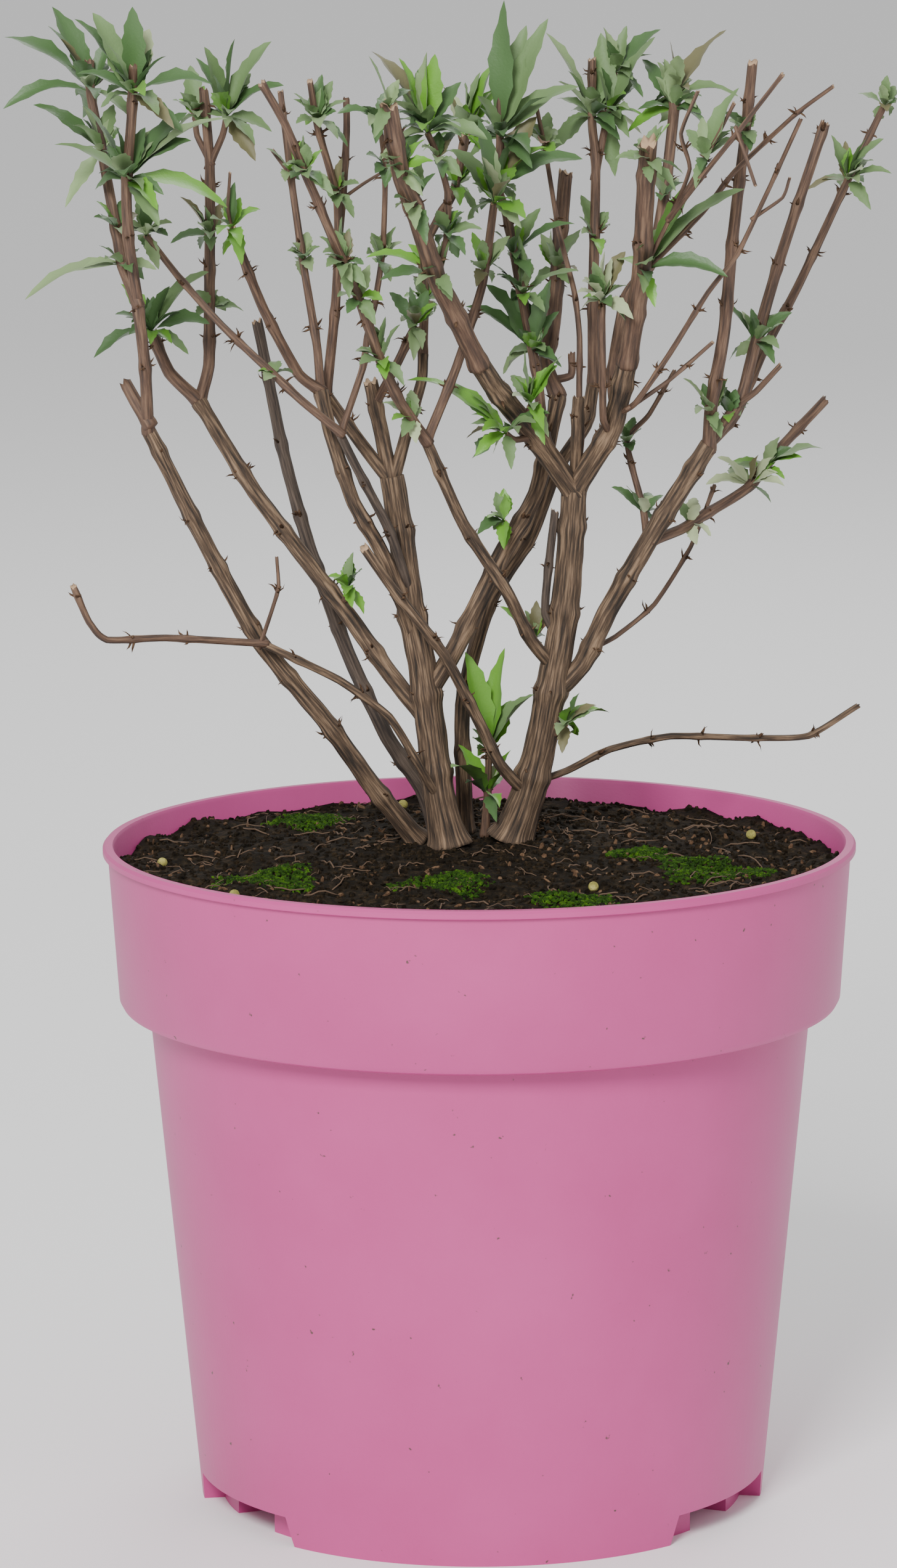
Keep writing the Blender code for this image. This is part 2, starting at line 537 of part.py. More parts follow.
def sector(inner, outer, high, turns, slant, steps):
    """A ring sector from below the floor up to `high`; `slant` widens it at its lower edge."""
    bm = bmesh.new()
    start, end = turns
    low = -2.0
    sections = []
    for step in range(steps + 1):
        share = step / steps
        section = []
        for radius, height, spread in (
                (inner, low, slant), (outer, low, slant), (outer, high, 0.0), (inner, high, 0.0)):
            turn = math.radians(start - spread + (end - start + 2 * spread) * share)
            section.append(bm.verts.new(
                (radius * math.sin(turn) * MM, -radius * math.cos(turn) * MM, height * MM)))
        sections.append(section)
    bm.faces.new(sections[0])
    bm.faces.new(sections[-1])
    for near, far in zip(sections, sections[1:]):
        for i in range(4):
            j = (i + 1) % 4
            bm.faces.new((near[i], near[j], far[j], far[i]))
    bmesh.ops.recalc_face_normals(bm, faces=bm.faces)
    return bm


def ring_points(centre, along, across, radius, sides):
    """One ring of a tube round `along`, starting at the direction `across`."""
    other = along.cross(across).normalized()
    turns = (2 * math.pi * i / sides for i in range(sides))
    return [centre + (across * math.cos(t) + other * math.sin(t)) * radius for t in turns]


def limb_stations(part, grow=0.0):
    """(point, radius) pairs along a limb: its ends, and a swollen knot at each bend."""
    points = [place(*spot) for spot in part.course]
    spans = [(b - a).length for a, b in zip(points, points[1:])]
    length = sum(spans)
    run = 0.0
    stations = [(points[0], part.foot_r * part.flare + grow)]
    if part.flare > 1.0:
        rise = (points[1] - points[0]).normalized() * part.foot_r * 1.6
        stations.append((points[0] + rise, part.foot_r * 1.04 + grow))
    for here, span in zip(points[1:-1], spans):
        run += span
        radius = part.foot_r + (part.tip_r - part.foot_r) * run / length
        stations.append((here, radius * KNOT_SWELL + grow))
    stations.append((points[-1], part.tip_r + grow))
    return stations


def tube(part, grow=0.0):
    """The limb as a closed tube. A limb that stands on the soil is cut flat at its foot."""
    sides = LIMB_SIDES
    if part.foot_r < THIN_TWIG:
        sides = TWIG_SIDES if part.foot_r > THREAD else 3
    grow /= math.cos(math.pi / sides)
    stations = limb_stations(part, grow)
    if grow:
        first, second, last, second_last = (stations[i][0] for i in (0, 1, -1, -2))
        stations[0] = (first + (first - second).normalized() * CLEAR, stations[0][1])
        stations[-1] = (last + (last - second_last).normalized() * CLEAR, stations[-1][1])
    bm = bmesh.new()
    rings = []
    across = None
    for i, (centre, radius) in enumerate(stations):
        before = stations[max(i - 1, 0)][0]
        after = stations[min(i + 1, len(stations) - 1)][0]
        along = (after - before).normalized()
        guide = Vector((0.3, 1.0, 0.1)) if across is None else across
        across = (guide - along * guide.dot(along)).normalized()
        ring = ring_points(centre, along, across, radius, sides)
        if i == 0 and part.parent == "soil":
            ring = [p + along * ((centre.z - p.z) / along.z) for p in ring]
        rings.append([bm.verts.new(p * MM) for p in ring])
    bm.faces.new(rings[0])
    bm.faces.new(rings[-1])
    for lower, upper in zip(rings, rings[1:]):
        for i in range(sides):
            j = (i + 1) % sides
            bm.faces.new((lower[i], lower[j], upper[j], upper[i]))
    bmesh.ops.recalc_face_normals(bm, faces=bm.faces)
    return bm


def beads(part):
    """Rows of x, y, z, radius close together along a limb, to measure clearances by."""
    rows = []
    stations = limb_stations(part)
    for (a, ra), (b, rb) in zip(stations, stations[1:]):
        count = max(1, math.ceil((b - a).length / BEAD_STEP))
        for i in range(count):
            spot = a.lerp(b, i / count)
            rows.append((*spot, ra + (rb - ra) * i / count))
    rows.append((*stations[-1][0], stations[-1][1]))
    return np.array(rows)


def room_between(rows, others):
    """The least clearance between two sets of beads."""
    if not len(rows) or not len(others):
        return math.inf
    apart = np.linalg.norm(rows[:, None, :3] - others[None, :, :3], axis=2)
    return float((apart - rows[:, None, 3] - others[None, :, 3]).min())


def leaf_spine(root, tip, lift, steps):
    """Points along a leaf's arched midrib, from its root to its tip."""
    bend = root.lerp(tip, 0.5) + Vector((0, 0, lift))
    spine = []
    for i in range(steps + 1):
        t = i / steps
        spine.append(root * (1 - t) ** 2 + bend * (2 * t * (1 - t)) + tip * t ** 2)
    return spine


@dataclass
class Leaf:
    """One leaf: its arched midrib, its widest width, its face's way and its arch."""

    spine: list
    width: float
    face: Vector
    lift: float

    def width_at(self, t):
        """Lance-shaped width at a share of the length."""
        return self.width * min(1.0, math.sin(math.pi * min(t, 0.999) ** 0.8) ** 0.75 + 0.12)

    def beads(self):
        """Clearance beads along the outer four fifths of the leaf."""
        last = len(self.spine) - 1
        rows = []
        for i in range(3, 13):
            t = i / 12
            low = min(int(t * last), last - 1)
            spot = self.spine[low].lerp(self.spine[low + 1], t * last - low)
            rows.append((*spot, 0.42 * self.width_at(t) + LEAF_ROOM))
        return np.array(rows)

    def mesh(self):
        """A thin closed blade: a small root, keeled sections and a pointed tip."""
        bm = bmesh.new()
        last = len(self.spine) - 1
        rings = []
        for i, centre in enumerate(self.spine[:-1]):
            along = (self.spine[i + 1] - self.spine[max(i - 1, 0)]).normalized()
            side = along.cross(self.face).normalized()
            out = side.cross(along).normalized()
            half = (LEAF_NECK if i == 0 else self.width_at(i / last)) / 2
            thick = LEAF_THICK
            ring = (side * half, out * -thick, side * -half)
            rings.append([bm.verts.new((centre + step) * MM) for step in ring])
        tip = bm.verts.new(self.spine[-1] * MM)
        bm.faces.new(rings[0])
        for lower, upper in zip(rings, rings[1:]):
            for i in range(3):
                j = (i + 1) % 3
                bm.faces.new((lower[i], lower[j], upper[j], upper[i]))
        for i in range(3):
            bm.faces.new((rings[-1][i], rings[-1][(i + 1) % 3], tip))
        bmesh.ops.recalc_face_normals(bm, faces=bm.faces)
        return bm


def leaf_to(root, tip, rng):
    """A leaf from root to tip, arched more the further it leans out, with its face upwards."""
    span = tip - root
    length = span.length
    flat = math.hypot(span.x, span.y) / length
    lift = length * (0.04 + 0.22 * flat)
    steps = 3 if length > LONG_LEAF else 2
    width = min(max(length * LEAF_WIDTH_SHARE * rng.uniform(0.8, 1.25), LEAF_WIDTH_RANGE[0]),
                LEAF_WIDTH_RANGE[1])
    face = Vector((-span.x * 0.6 + rng.uniform(-0.4, 0.4) * length,
                   -span.y * 0.6 - rng.uniform(0.1, 0.7) * length, length * 0.9))
    return Leaf(leaf_spine(root, tip, lift, steps), width, face.normalized(), lift)


def root_of(spray, tuft):
    """(point, direction, depth) on the spray's twigs that lies nearest to the tuft's place."""
    best = None
    for part in (spray.stem, *spray.forks):
        for a, b in zip(part.course, part.course[1:]):
            run = (b[0] - a[0], b[1] - a[1])
            size = run[0] ** 2 + run[1] ** 2
            share = ((tuft.at[0] - a[0]) * run[0] + (tuft.at[1] - a[1]) * run[1]) / size
            share = min(max(share, 0.0), 1.0)
            spot = [a[i] + (b[i] - a[i]) * share for i in range(3)]
            miss = math.dist(spot[:2], tuft.at)
            if best is None or miss < best[0]:
                best = (miss, place(*spot), (place(*b) - place(*a)).normalized(), spot[2])
    return best[1:]


def whorl_leaf(root, axis, tuft, index, rng, attempt):
    """A leaf of the whorl by rule: turned by the golden angle, the later ones more spread."""
    turn = GOLDEN_TURN * index + attempt * 0.9 + rng.uniform(-0.3, 0.3)
    tilt = LEAF_TILT[0] + (LEAF_TILT[1] - LEAF_TILT[0]) * (index + 0.5) / tuft.leaves
    side = axis.orthogonal().normalized()
    other = axis.cross(side)
    out = side * math.cos(turn) + other * math.sin(turn)
    way = axis * math.cos(math.radians(tilt)) + out * math.sin(math.radians(tilt))
    length = tuft.size * rng.uniform(0.62, 1.0)
    return leaf_to(root, root + way.normalized() * length, rng)


def grow_leaves(spray, taken, rng):
    """The spray's leaves, each clear of `taken`: the beads of all that other nodes hold."""
    leaves = []

    def clear_of_others(leaf):
        rows = leaf.beads()
        low = rows[:, 2].min() - (SOIL_CROWN + 1.0)
        return low > 0 and room_between(rows, taken) > 0

    for tuft in spray.tufts:
        root, axis, depth = root_of(spray, tuft)
        for index, tip in enumerate(tuft.reach):
            sink = tip[2] if len(tip) == 3 else depth + rng.uniform(-6.0, 6.0)
            for shift in REACH_TRIES:
                leaf = leaf_to(root, place(tip[0], tip[1], sink + shift), rng)
                if clear_of_others(leaf):
                    leaves.append(leaf)
                    break
        for index in range(round(tuft.leaves * WHORL_SHARE)):
            for attempt in range(LEAF_TRIES):
                leaf = whorl_leaf(root, axis, tuft, index, rng, attempt)
                if clear_of_others(leaf):
                    leaves.append(leaf)
                    break
    return leaves


def object_from(name, bm, material=None):
    """A new object that takes over a bmesh."""
    mesh = bpy.data.meshes.new(name)
    bm.to_mesh(mesh)
    bm.free()
    obj = bpy.data.objects.new(name, mesh)
    bpy.context.scene.collection.objects.link(obj)
    if material:
        mesh.materials.append(material)
    return obj


def make_cutter(name, bm):
    """A helper shape, hidden from the render and drawn as wire."""
    cutter = object_from(name, bm)
    cutter.hide_render = True
    cutter.display_type = "WIRE"
    return cutter


def keep_largest(mesh):
    """Drops loose scraps and sealed hollows: only the island with the largest volume stays."""
    bm = bmesh.new()
    bm.from_mesh(mesh)
    left = set(bm.verts)
    islands = []
    while left:
        front = [left.pop()]
        island = list(front)
        while front:
            here = front.pop()
            near = {edge.other_vert(here) for edge in here.link_edges} & left
            left -= near
            front.extend(near)
            island.extend(near)
        faces = {face for vert in island for face in vert.link_faces}
        size = abs(sum(
            face.normal.dot(face.calc_center_median()) * face.calc_area() for face in faces))
        islands.append((size, island))
    islands.sort(key=lambda pair: pair[0])
    bmesh.ops.delete(bm, geom=[v for _, island in islands[:-1] for v in island], context="VERTS")
    bm.to_mesh(mesh)
    bm.free()


def apply_boolean(obj, operation, others, solver="MANIFOLD"):
    """Joins the others to the object or cuts them from it, applies the result and removes them."""
    group = bpy.data.collections.new(obj.name + "_helpers")
    bpy.context.scene.collection.children.link(group)
    for other in others:
        bpy.context.scene.collection.objects.unlink(other)
        group.objects.link(other)
    modifier = obj.modifiers.new(operation.lower(), "BOOLEAN")
    modifier.operation = operation
    modifier.operand_type = "COLLECTION"
    modifier.collection = group
    modifier.solver = solver
    graph = bpy.context.evaluated_depsgraph_get()
    result = bpy.data.meshes.new_from_object(obj.evaluated_get(graph))
    obj.modifiers.remove(modifier)
    keep_largest(result)
    obj.data = result
    for other in others:
        bpy.data.objects.remove(other)
    bpy.data.collections.remove(group)


def make_material(name, colour, roughness):
    """A plain Principled material."""
    material = bpy.data.materials.new(name)
    material.use_nodes = True
    shader = material.node_tree.nodes["Principled BSDF"]
    shader.inputs["Base Color"].default_value = (*colour, 1.0)
    shader.inputs["Roughness"].default_value = roughness
    shader.inputs["Metallic"].default_value = 0.0
    return material


def body_radius(height):
    """Outer radius of the pot's tapering body at a height."""
    return FOOT_RADIUS + (BODY_TOP_RADIUS - FOOT_RADIUS) * height / COLLAR_FOOT


def collar_radius(height):
    """Outer radius of the pot's collar at a height."""
    share = (height - COLLAR_FOOT) / (LIP_TOP - LIP_DROP - COLLAR_FOOT)
    return COLLAR_FOOT_RADIUS + (COLLAR_TOP_RADIUS - COLLAR_FOOT_RADIUS) * share


def pot_inside(height):
    """Inner radius of the pot at a height."""
    if height > COLLAR_FOOT + WALL:
        return collar_radius(height) - WALL
    return body_radius(height) - WALL


def pot_shell(outer, floor_rim, underside, sides):
    """The pot's wall and floor as one closed lathe: outside, inside, floor top and underside."""
    bm = bmesh.new()

    def ring(radius, height):
        turns = (2 * math.pi * i / sides for i in range(sides))
        return [
            bm.verts.new((radius * math.sin(t) * MM, -radius * math.cos(t) * MM, height * MM))
            for t in turns
        ]

    rings = [ring(*spot) for spot in (*reversed(underside), *outer, floor_rim)]
    foot = bm.verts.new((0, 0, 0))
    floor = bm.verts.new((0, 0, FLOOR_TOP * MM))
    for i in range(sides):
        j = (i + 1) % sides
        bm.faces.new((foot, rings[0][j], rings[0][i]))
        bm.faces.new((floor, rings[-1][i], rings[-1][j]))
        for lower, upper in zip(rings, rings[1:]):
            bm.faces.new((lower[i], lower[j], upper[j], upper[i]))
    bmesh.ops.recalc_face_normals(bm, faces=bm.faces)
    return bm


def pot_profile():
    """The pot's outside and inside, its floor's rim and its underside, as (radius, height) rows."""
    shoulder = COLLAR_FOOT + WALL
    inner_lip = LIP_RADIUS - 1.3 - WALL
    wall = [
        (FOOT_RADIUS, 0.0),
        (body_radius(COLLAR_FOOT), COLLAR_FOOT),
        (COLLAR_FOOT_RADIUS - COLLAR_ROUND, COLLAR_FOOT),
        (COLLAR_FOOT_RADIUS - 0.3 * COLLAR_ROUND, COLLAR_FOOT + 0.3 * COLLAR_ROUND),
        (collar_radius(COLLAR_FOOT + COLLAR_ROUND), COLLAR_FOOT + COLLAR_ROUND),
        (COLLAR_TOP_RADIUS, LIP_TOP - LIP_DROP),
        (LIP_RADIUS, LIP_TOP - LIP_DROP + 0.5),
        (LIP_RADIUS, LIP_TOP - 0.7),
        (LIP_RADIUS - 0.6, LIP_TOP),
        (inner_lip + 0.5, LIP_TOP),
        (inner_lip, LIP_TOP - 0.8),
        (pot_inside(shoulder + 0.01), shoulder + 0.4),
        (body_radius(COLLAR_FOOT) - WALL, shoulder),
        (pot_inside(FLOOR_TOP + 3.0), FLOOR_TOP + 3.0),
    ]
    floor_rim = (pot_inside(FLOOR_TOP) - 3.0, FLOOR_TOP)
    underside = [
        (RING_INNER, 0.0), (RING_INNER, FLOOR_UNDER), (HUB_RADIUS, FLOOR_UNDER), (HUB_RADIUS, 0.0)]
    return wall, floor_rim, underside


def foot_cutters(steps):
    """Cutters for the notches and channels of the foot and for the drain holes."""
    cutters = []
    for mirror in (1, -1):
        for flip in (False, True):
            for low, high, inner, slant in (
                    (*NOTCH_TURN, RING_OUTER, NOTCH_SLANT), (*CHANNEL_TURN, RING_INNER - 5.0, 0.0)):
                start, end = (180.0 - high, 180.0 - low) if flip else (low, high)
                start, end = sorted((mirror * start, mirror * end))
                cut = sector(inner, FOOT_RADIUS + 8.0, NOTCH_HEIGHT, (start, end), slant, steps)
                cutters.append(make_cutter("foot_cut", cut))
    for quarter in range(4):
        turn = math.radians(45.0 + 90.0 * quarter)
        hole = bmesh.new()
        bmesh.ops.create_cone(hole, cap_ends=True, segments=3 * steps, radius1=DRAIN_RADIUS * MM,
                              radius2=DRAIN_RADIUS * MM, depth=(FLOOR_TOP - FLOOR_UNDER + 4) * MM)
        spot = Vector((math.sin(turn), math.cos(turn), 0)) * DRAIN_RING
        spot.z = (FLOOR_TOP + FLOOR_UNDER) / 2
        bmesh.ops.translate(hole, verts=hole.verts, vec=spot * MM)
        cutters.append(make_cutter("drain_cut", hole))
    return cutters


def build_pot(material):
    """The pot: a tapering body under a stepped collar with a rolled lip, on a notched foot."""
    pot = object_from("pot", pot_shell(*pot_profile(), POT_SIDES), material)
    apply_boolean(pot, "DIFFERENCE", foot_cutters(CUT_STEPS), "EXACT")
    pot.data.shade_smooth()
    pot.data.set_sharp_from_angle(angle=math.radians(35))
    return pot


def ground_height(x, y):
    """Height of the soil's surface: a flat crown round the stems, falling to the wall in lumps."""
    away = math.hypot(x, y - SOIL_CROWN_BACK) - SOIL_CROWN_RADIUS
    if away <= 0:
        return SOIL_CROWN
    ease = min(away / 38.0, 1.0)
    lumps = math.sin(x * 0.21 + 1.3) * math.cos(y * 0.17 + 0.4) + 0.6 * math.sin(x * 0.09 - y * 0.31)
    front = max(0.0, -y) / LIP_RADIUS
    edge = SOIL_EDGE + 2.4 * front
    return SOIL_CROWN + (edge - SOIL_CROWN) * ease + SOIL_RELIEF * lumps * min(ease * 2.0, 1.0)


def build_soil(material):
    """The soil: a plug that fills the pot to a lumpy surface just under the lip."""
    shoulder = COLLAR_FOOT + WALL
    side = [
        (pot_inside(FLOOR_TOP) - 3.5, FLOOR_TOP + CLEAR),
        (pot_inside(FLOOR_TOP + 3.0) - CLEAR, FLOOR_TOP + 3.2 + CLEAR),
        (body_radius(COLLAR_FOOT) - WALL - CLEAR, shoulder + 0.4 + CLEAR),
        (pot_inside(shoulder + 0.01) - CLEAR, shoulder + 0.8 + CLEAR),
    ]
    rim = collar_radius(SOIL_CROWN) - WALL - 2 * CLEAR
    top = [(rim * (SOIL_RINGS - i) / SOIL_RINGS, SOIL_CROWN) for i in range(SOIL_RINGS)]

    def relief(x, y, height):
        return ground_height(x, y) if height == SOIL_CROWN else height

    soil = object_from("soil", disc_solid(side + top, SOIL_SIDES, relief), material)
    soil.data.shade_smooth()
    return soil


def build_limb(part, neighbours, material):
    """A limb as its own object, its foot cut back from every neighbour that it meets."""
    obj = object_from(part.name, tube(part), material)
    seat(obj, beads(part), neighbours)
    return obj


def seat(obj, rows, neighbours):
    """Cuts an object back to the standard gap from each limb that comes close to its beads."""
    close = [n for n in neighbours if room_between(rows, beads(n)) < LEAST_CUT]
    if close:
        apply_boolean(obj, "DIFFERENCE", [make_cutter("cut", tube(n, CLEAR)) for n in close])


def build_spray(spray, leaves, neighbours, material):
    """A spray as one solid: stem, forks and leaves joined, and its foot cut clear of its bough."""
    obj = object_from(spray.stem.name, tube(spray.stem), material)
    pieces = [object_from("fork", tube(fork)) for fork in spray.forks]
    pieces += [object_from("leaf", leaf.mesh()) for leaf in leaves]
    if pieces:
        apply_boolean(obj, "UNION", pieces)
    seat(obj, beads(spray.stem), neighbours)
    obj.data.shade_smooth()
    obj.data.set_sharp_from_angle(angle=math.radians(40))
    return obj


def main():
    """Clears the scene and builds the pot, the soil, the limbs and the sprays under one parent."""
    for obj in list(bpy.data.objects):
        bpy.data.objects.remove(obj)
    plastic = make_material("pot", (0.60, 0.22, 0.38), 0.55)
    earth = make_material("soil", (0.035, 0.024, 0.018), 0.95)
    bark = make_material("bark", (0.115, 0.067, 0.040), 0.85)
    foliage = make_material("foliage", (0.145, 0.240, 0.085), 0.70)
    built = [build_pot(plastic), build_soil(earth)]
    limbs = []
    for part in BOUGHS:
        obj = build_limb(part, limbs, bark)
        obj.data.shade_smooth()
        built.append(obj)
        limbs.append(part)
    every = {part.name: beads(part) for part in BOUGHS}
    for spray in SPRAYS:
        every[spray.stem.name] = np.concatenate(
            [beads(part) for part in (spray.stem, *spray.forks)])
    grown = {}
    for index, spray in enumerate(SPRAYS):
        name = spray.stem.name
        taken = np.concatenate(
            [rows for other, rows in every.items() if other != name])
        leaves = grow_leaves(spray, taken, random.Random(SEED + index))
        grown[name] = leaves
        if leaves:
            every[name] = np.concatenate([every[name]] + [leaf.beads() for leaf in leaves])
    for spray in SPRAYS:
        built.append(build_spray(spray, grown[spray.stem.name], limbs, foliage))
        limbs.append(spray.stem)
    root = bpy.data.objects.new("potted_shrub", None)
    bpy.context.scene.collection.objects.link(root)
    for obj in built:
        obj.parent = root


main()
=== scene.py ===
"""Potted butterfly bush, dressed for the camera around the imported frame.

The limbs and leaves grow by the same rule as the solids, finer: ribbed and knotted bark with torn
ends, folded and waved lance-shaped leaves, and a bed of crumbly soil with fibres, moss and feed
pellets in a moulded plastic pot.
"""

import json
import logging
import math
import random
from collections.abc import Callable
from dataclasses import dataclass, field, replace
from enum import Enum

import bmesh
import bpy
import numpy as np
from mathutils import Matrix, Vector

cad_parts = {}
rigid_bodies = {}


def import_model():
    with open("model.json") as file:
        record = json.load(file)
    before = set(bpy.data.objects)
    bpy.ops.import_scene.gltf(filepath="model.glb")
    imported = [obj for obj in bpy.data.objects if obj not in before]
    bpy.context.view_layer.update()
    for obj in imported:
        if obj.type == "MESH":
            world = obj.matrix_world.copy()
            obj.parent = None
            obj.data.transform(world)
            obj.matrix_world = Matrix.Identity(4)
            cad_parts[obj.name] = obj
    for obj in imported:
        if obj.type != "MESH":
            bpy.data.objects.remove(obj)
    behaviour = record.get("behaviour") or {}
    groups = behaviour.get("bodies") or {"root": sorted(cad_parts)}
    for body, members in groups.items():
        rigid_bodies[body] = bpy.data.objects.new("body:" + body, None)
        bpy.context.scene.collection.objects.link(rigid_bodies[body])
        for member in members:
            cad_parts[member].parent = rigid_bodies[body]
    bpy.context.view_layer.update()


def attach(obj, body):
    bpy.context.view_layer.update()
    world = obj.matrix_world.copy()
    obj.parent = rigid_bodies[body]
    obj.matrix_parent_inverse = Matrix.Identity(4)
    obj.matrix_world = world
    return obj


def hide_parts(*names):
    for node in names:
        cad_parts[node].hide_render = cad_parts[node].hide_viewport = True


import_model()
log = logging.getLogger("potted_shrub")

MM = 0.001
CLEAR = 0.3  # gap between neighbouring solids, mm

# Limb places are sighted: (across, up, back) in mm, where across and up are read in the upright
# plane through the pot's axis as seen from EYE, and back is the depth behind that plane.
EYE = Vector((0.0, -1562.0, 456.6))
REACH_TO_PLANE = -EYE.y

# Sizes that more than one sub-assembly uses, mm
LIP_RADIUS = 95.0
SOIL_CROWN = 165.4
LEAF_ROOM = 0.45  # kept round each leaf

# Limbs, as shares of a radius, and the step that clearances are measured at, mm
KNOT_SWELL = 1.12
FLARE_RISE = 1.6
FLARE_NECK = 1.04
BEAD_STEP = 1.2

# A leaf's outline: how its belly leans to the root, how full it is, and its least width
LANCE_LEAN = 0.8
LANCE_FULL = 0.75
LANCE_LEAST = 0.12
LEAF_BEADS = 12
BARE_BEADS = 3  # beads left out at the leaf's root
BEAD_SHARE = 0.42

GOLDEN_TURN = math.radians(137.5)
SEED = 11
FIBRE_SEED = SEED + 300
TINT_SEED = SEED + 500


@dataclass(frozen=True)
class Limb:
    """A tapering limb: the node that carries it, its sighted course and its two end radii."""

    name: str
    parent: str
    course: tuple
    foot_r: float
    tip_r: float
    flare: float = 1.0


@dataclass(frozen=True)
class Tuft:
    """A whorl of leaves near a sighted (across, up) place, and the tips of its longest leaves."""

    at: tuple
    leaves: int
    size: float
    reach: tuple = ()


@dataclass(frozen=True)
class Spray:
    """A mass of foliage: one stem, the twigs that fork from it and the tufts along them."""

    stem: Limb
    forks: tuple = ()
    tufts: tuple = ()


def place(across: float, up: float, back: float) -> Vector:
    """The point that lies `back` behind the sighted plane, on the line of sight to (across, up)."""
    return EYE + (Vector((across, 0.0, up)) - EYE) * (1.0 + back / REACH_TO_PLANE)


def on_soil(across: float, up: float) -> tuple:
    """A sighted foot on the soil's crown: its depth is where the line of sight meets the crown."""
    stretch = (EYE.z - SOIL_CROWN - CLEAR) / (EYE.z - up)
    return (across, up, REACH_TO_PLANE * (stretch - 1.0))


def limb(name: str, parent: str, course: tuple, foot_r: float, tip_r: float,
         flare: float = 1.0) -> Limb:
    """A limb, with a two-number foot set on the soil's crown.

    Args:
        name: its node's name.
        parent: the node that carries it.
        course: sighted places from its foot to its tip.
        foot_r: radius at the foot, mm.
        tip_r: radius at the tip, mm.
        flare: how many times wider the foot's root flare is.

    Returns:
        The limb.
    """
    if len(course[0]) == 2:
        course = (on_soil(*course[0]),) + tuple(course[1:])
    return Limb(name, parent, tuple(course), foot_r, tip_r, flare)


def fork(course: tuple, foot_r: float, tip_r: float) -> Limb:
    """A twig that forks from a spray's stem and is part of its node."""
    return limb("", "", course, foot_r, tip_r)


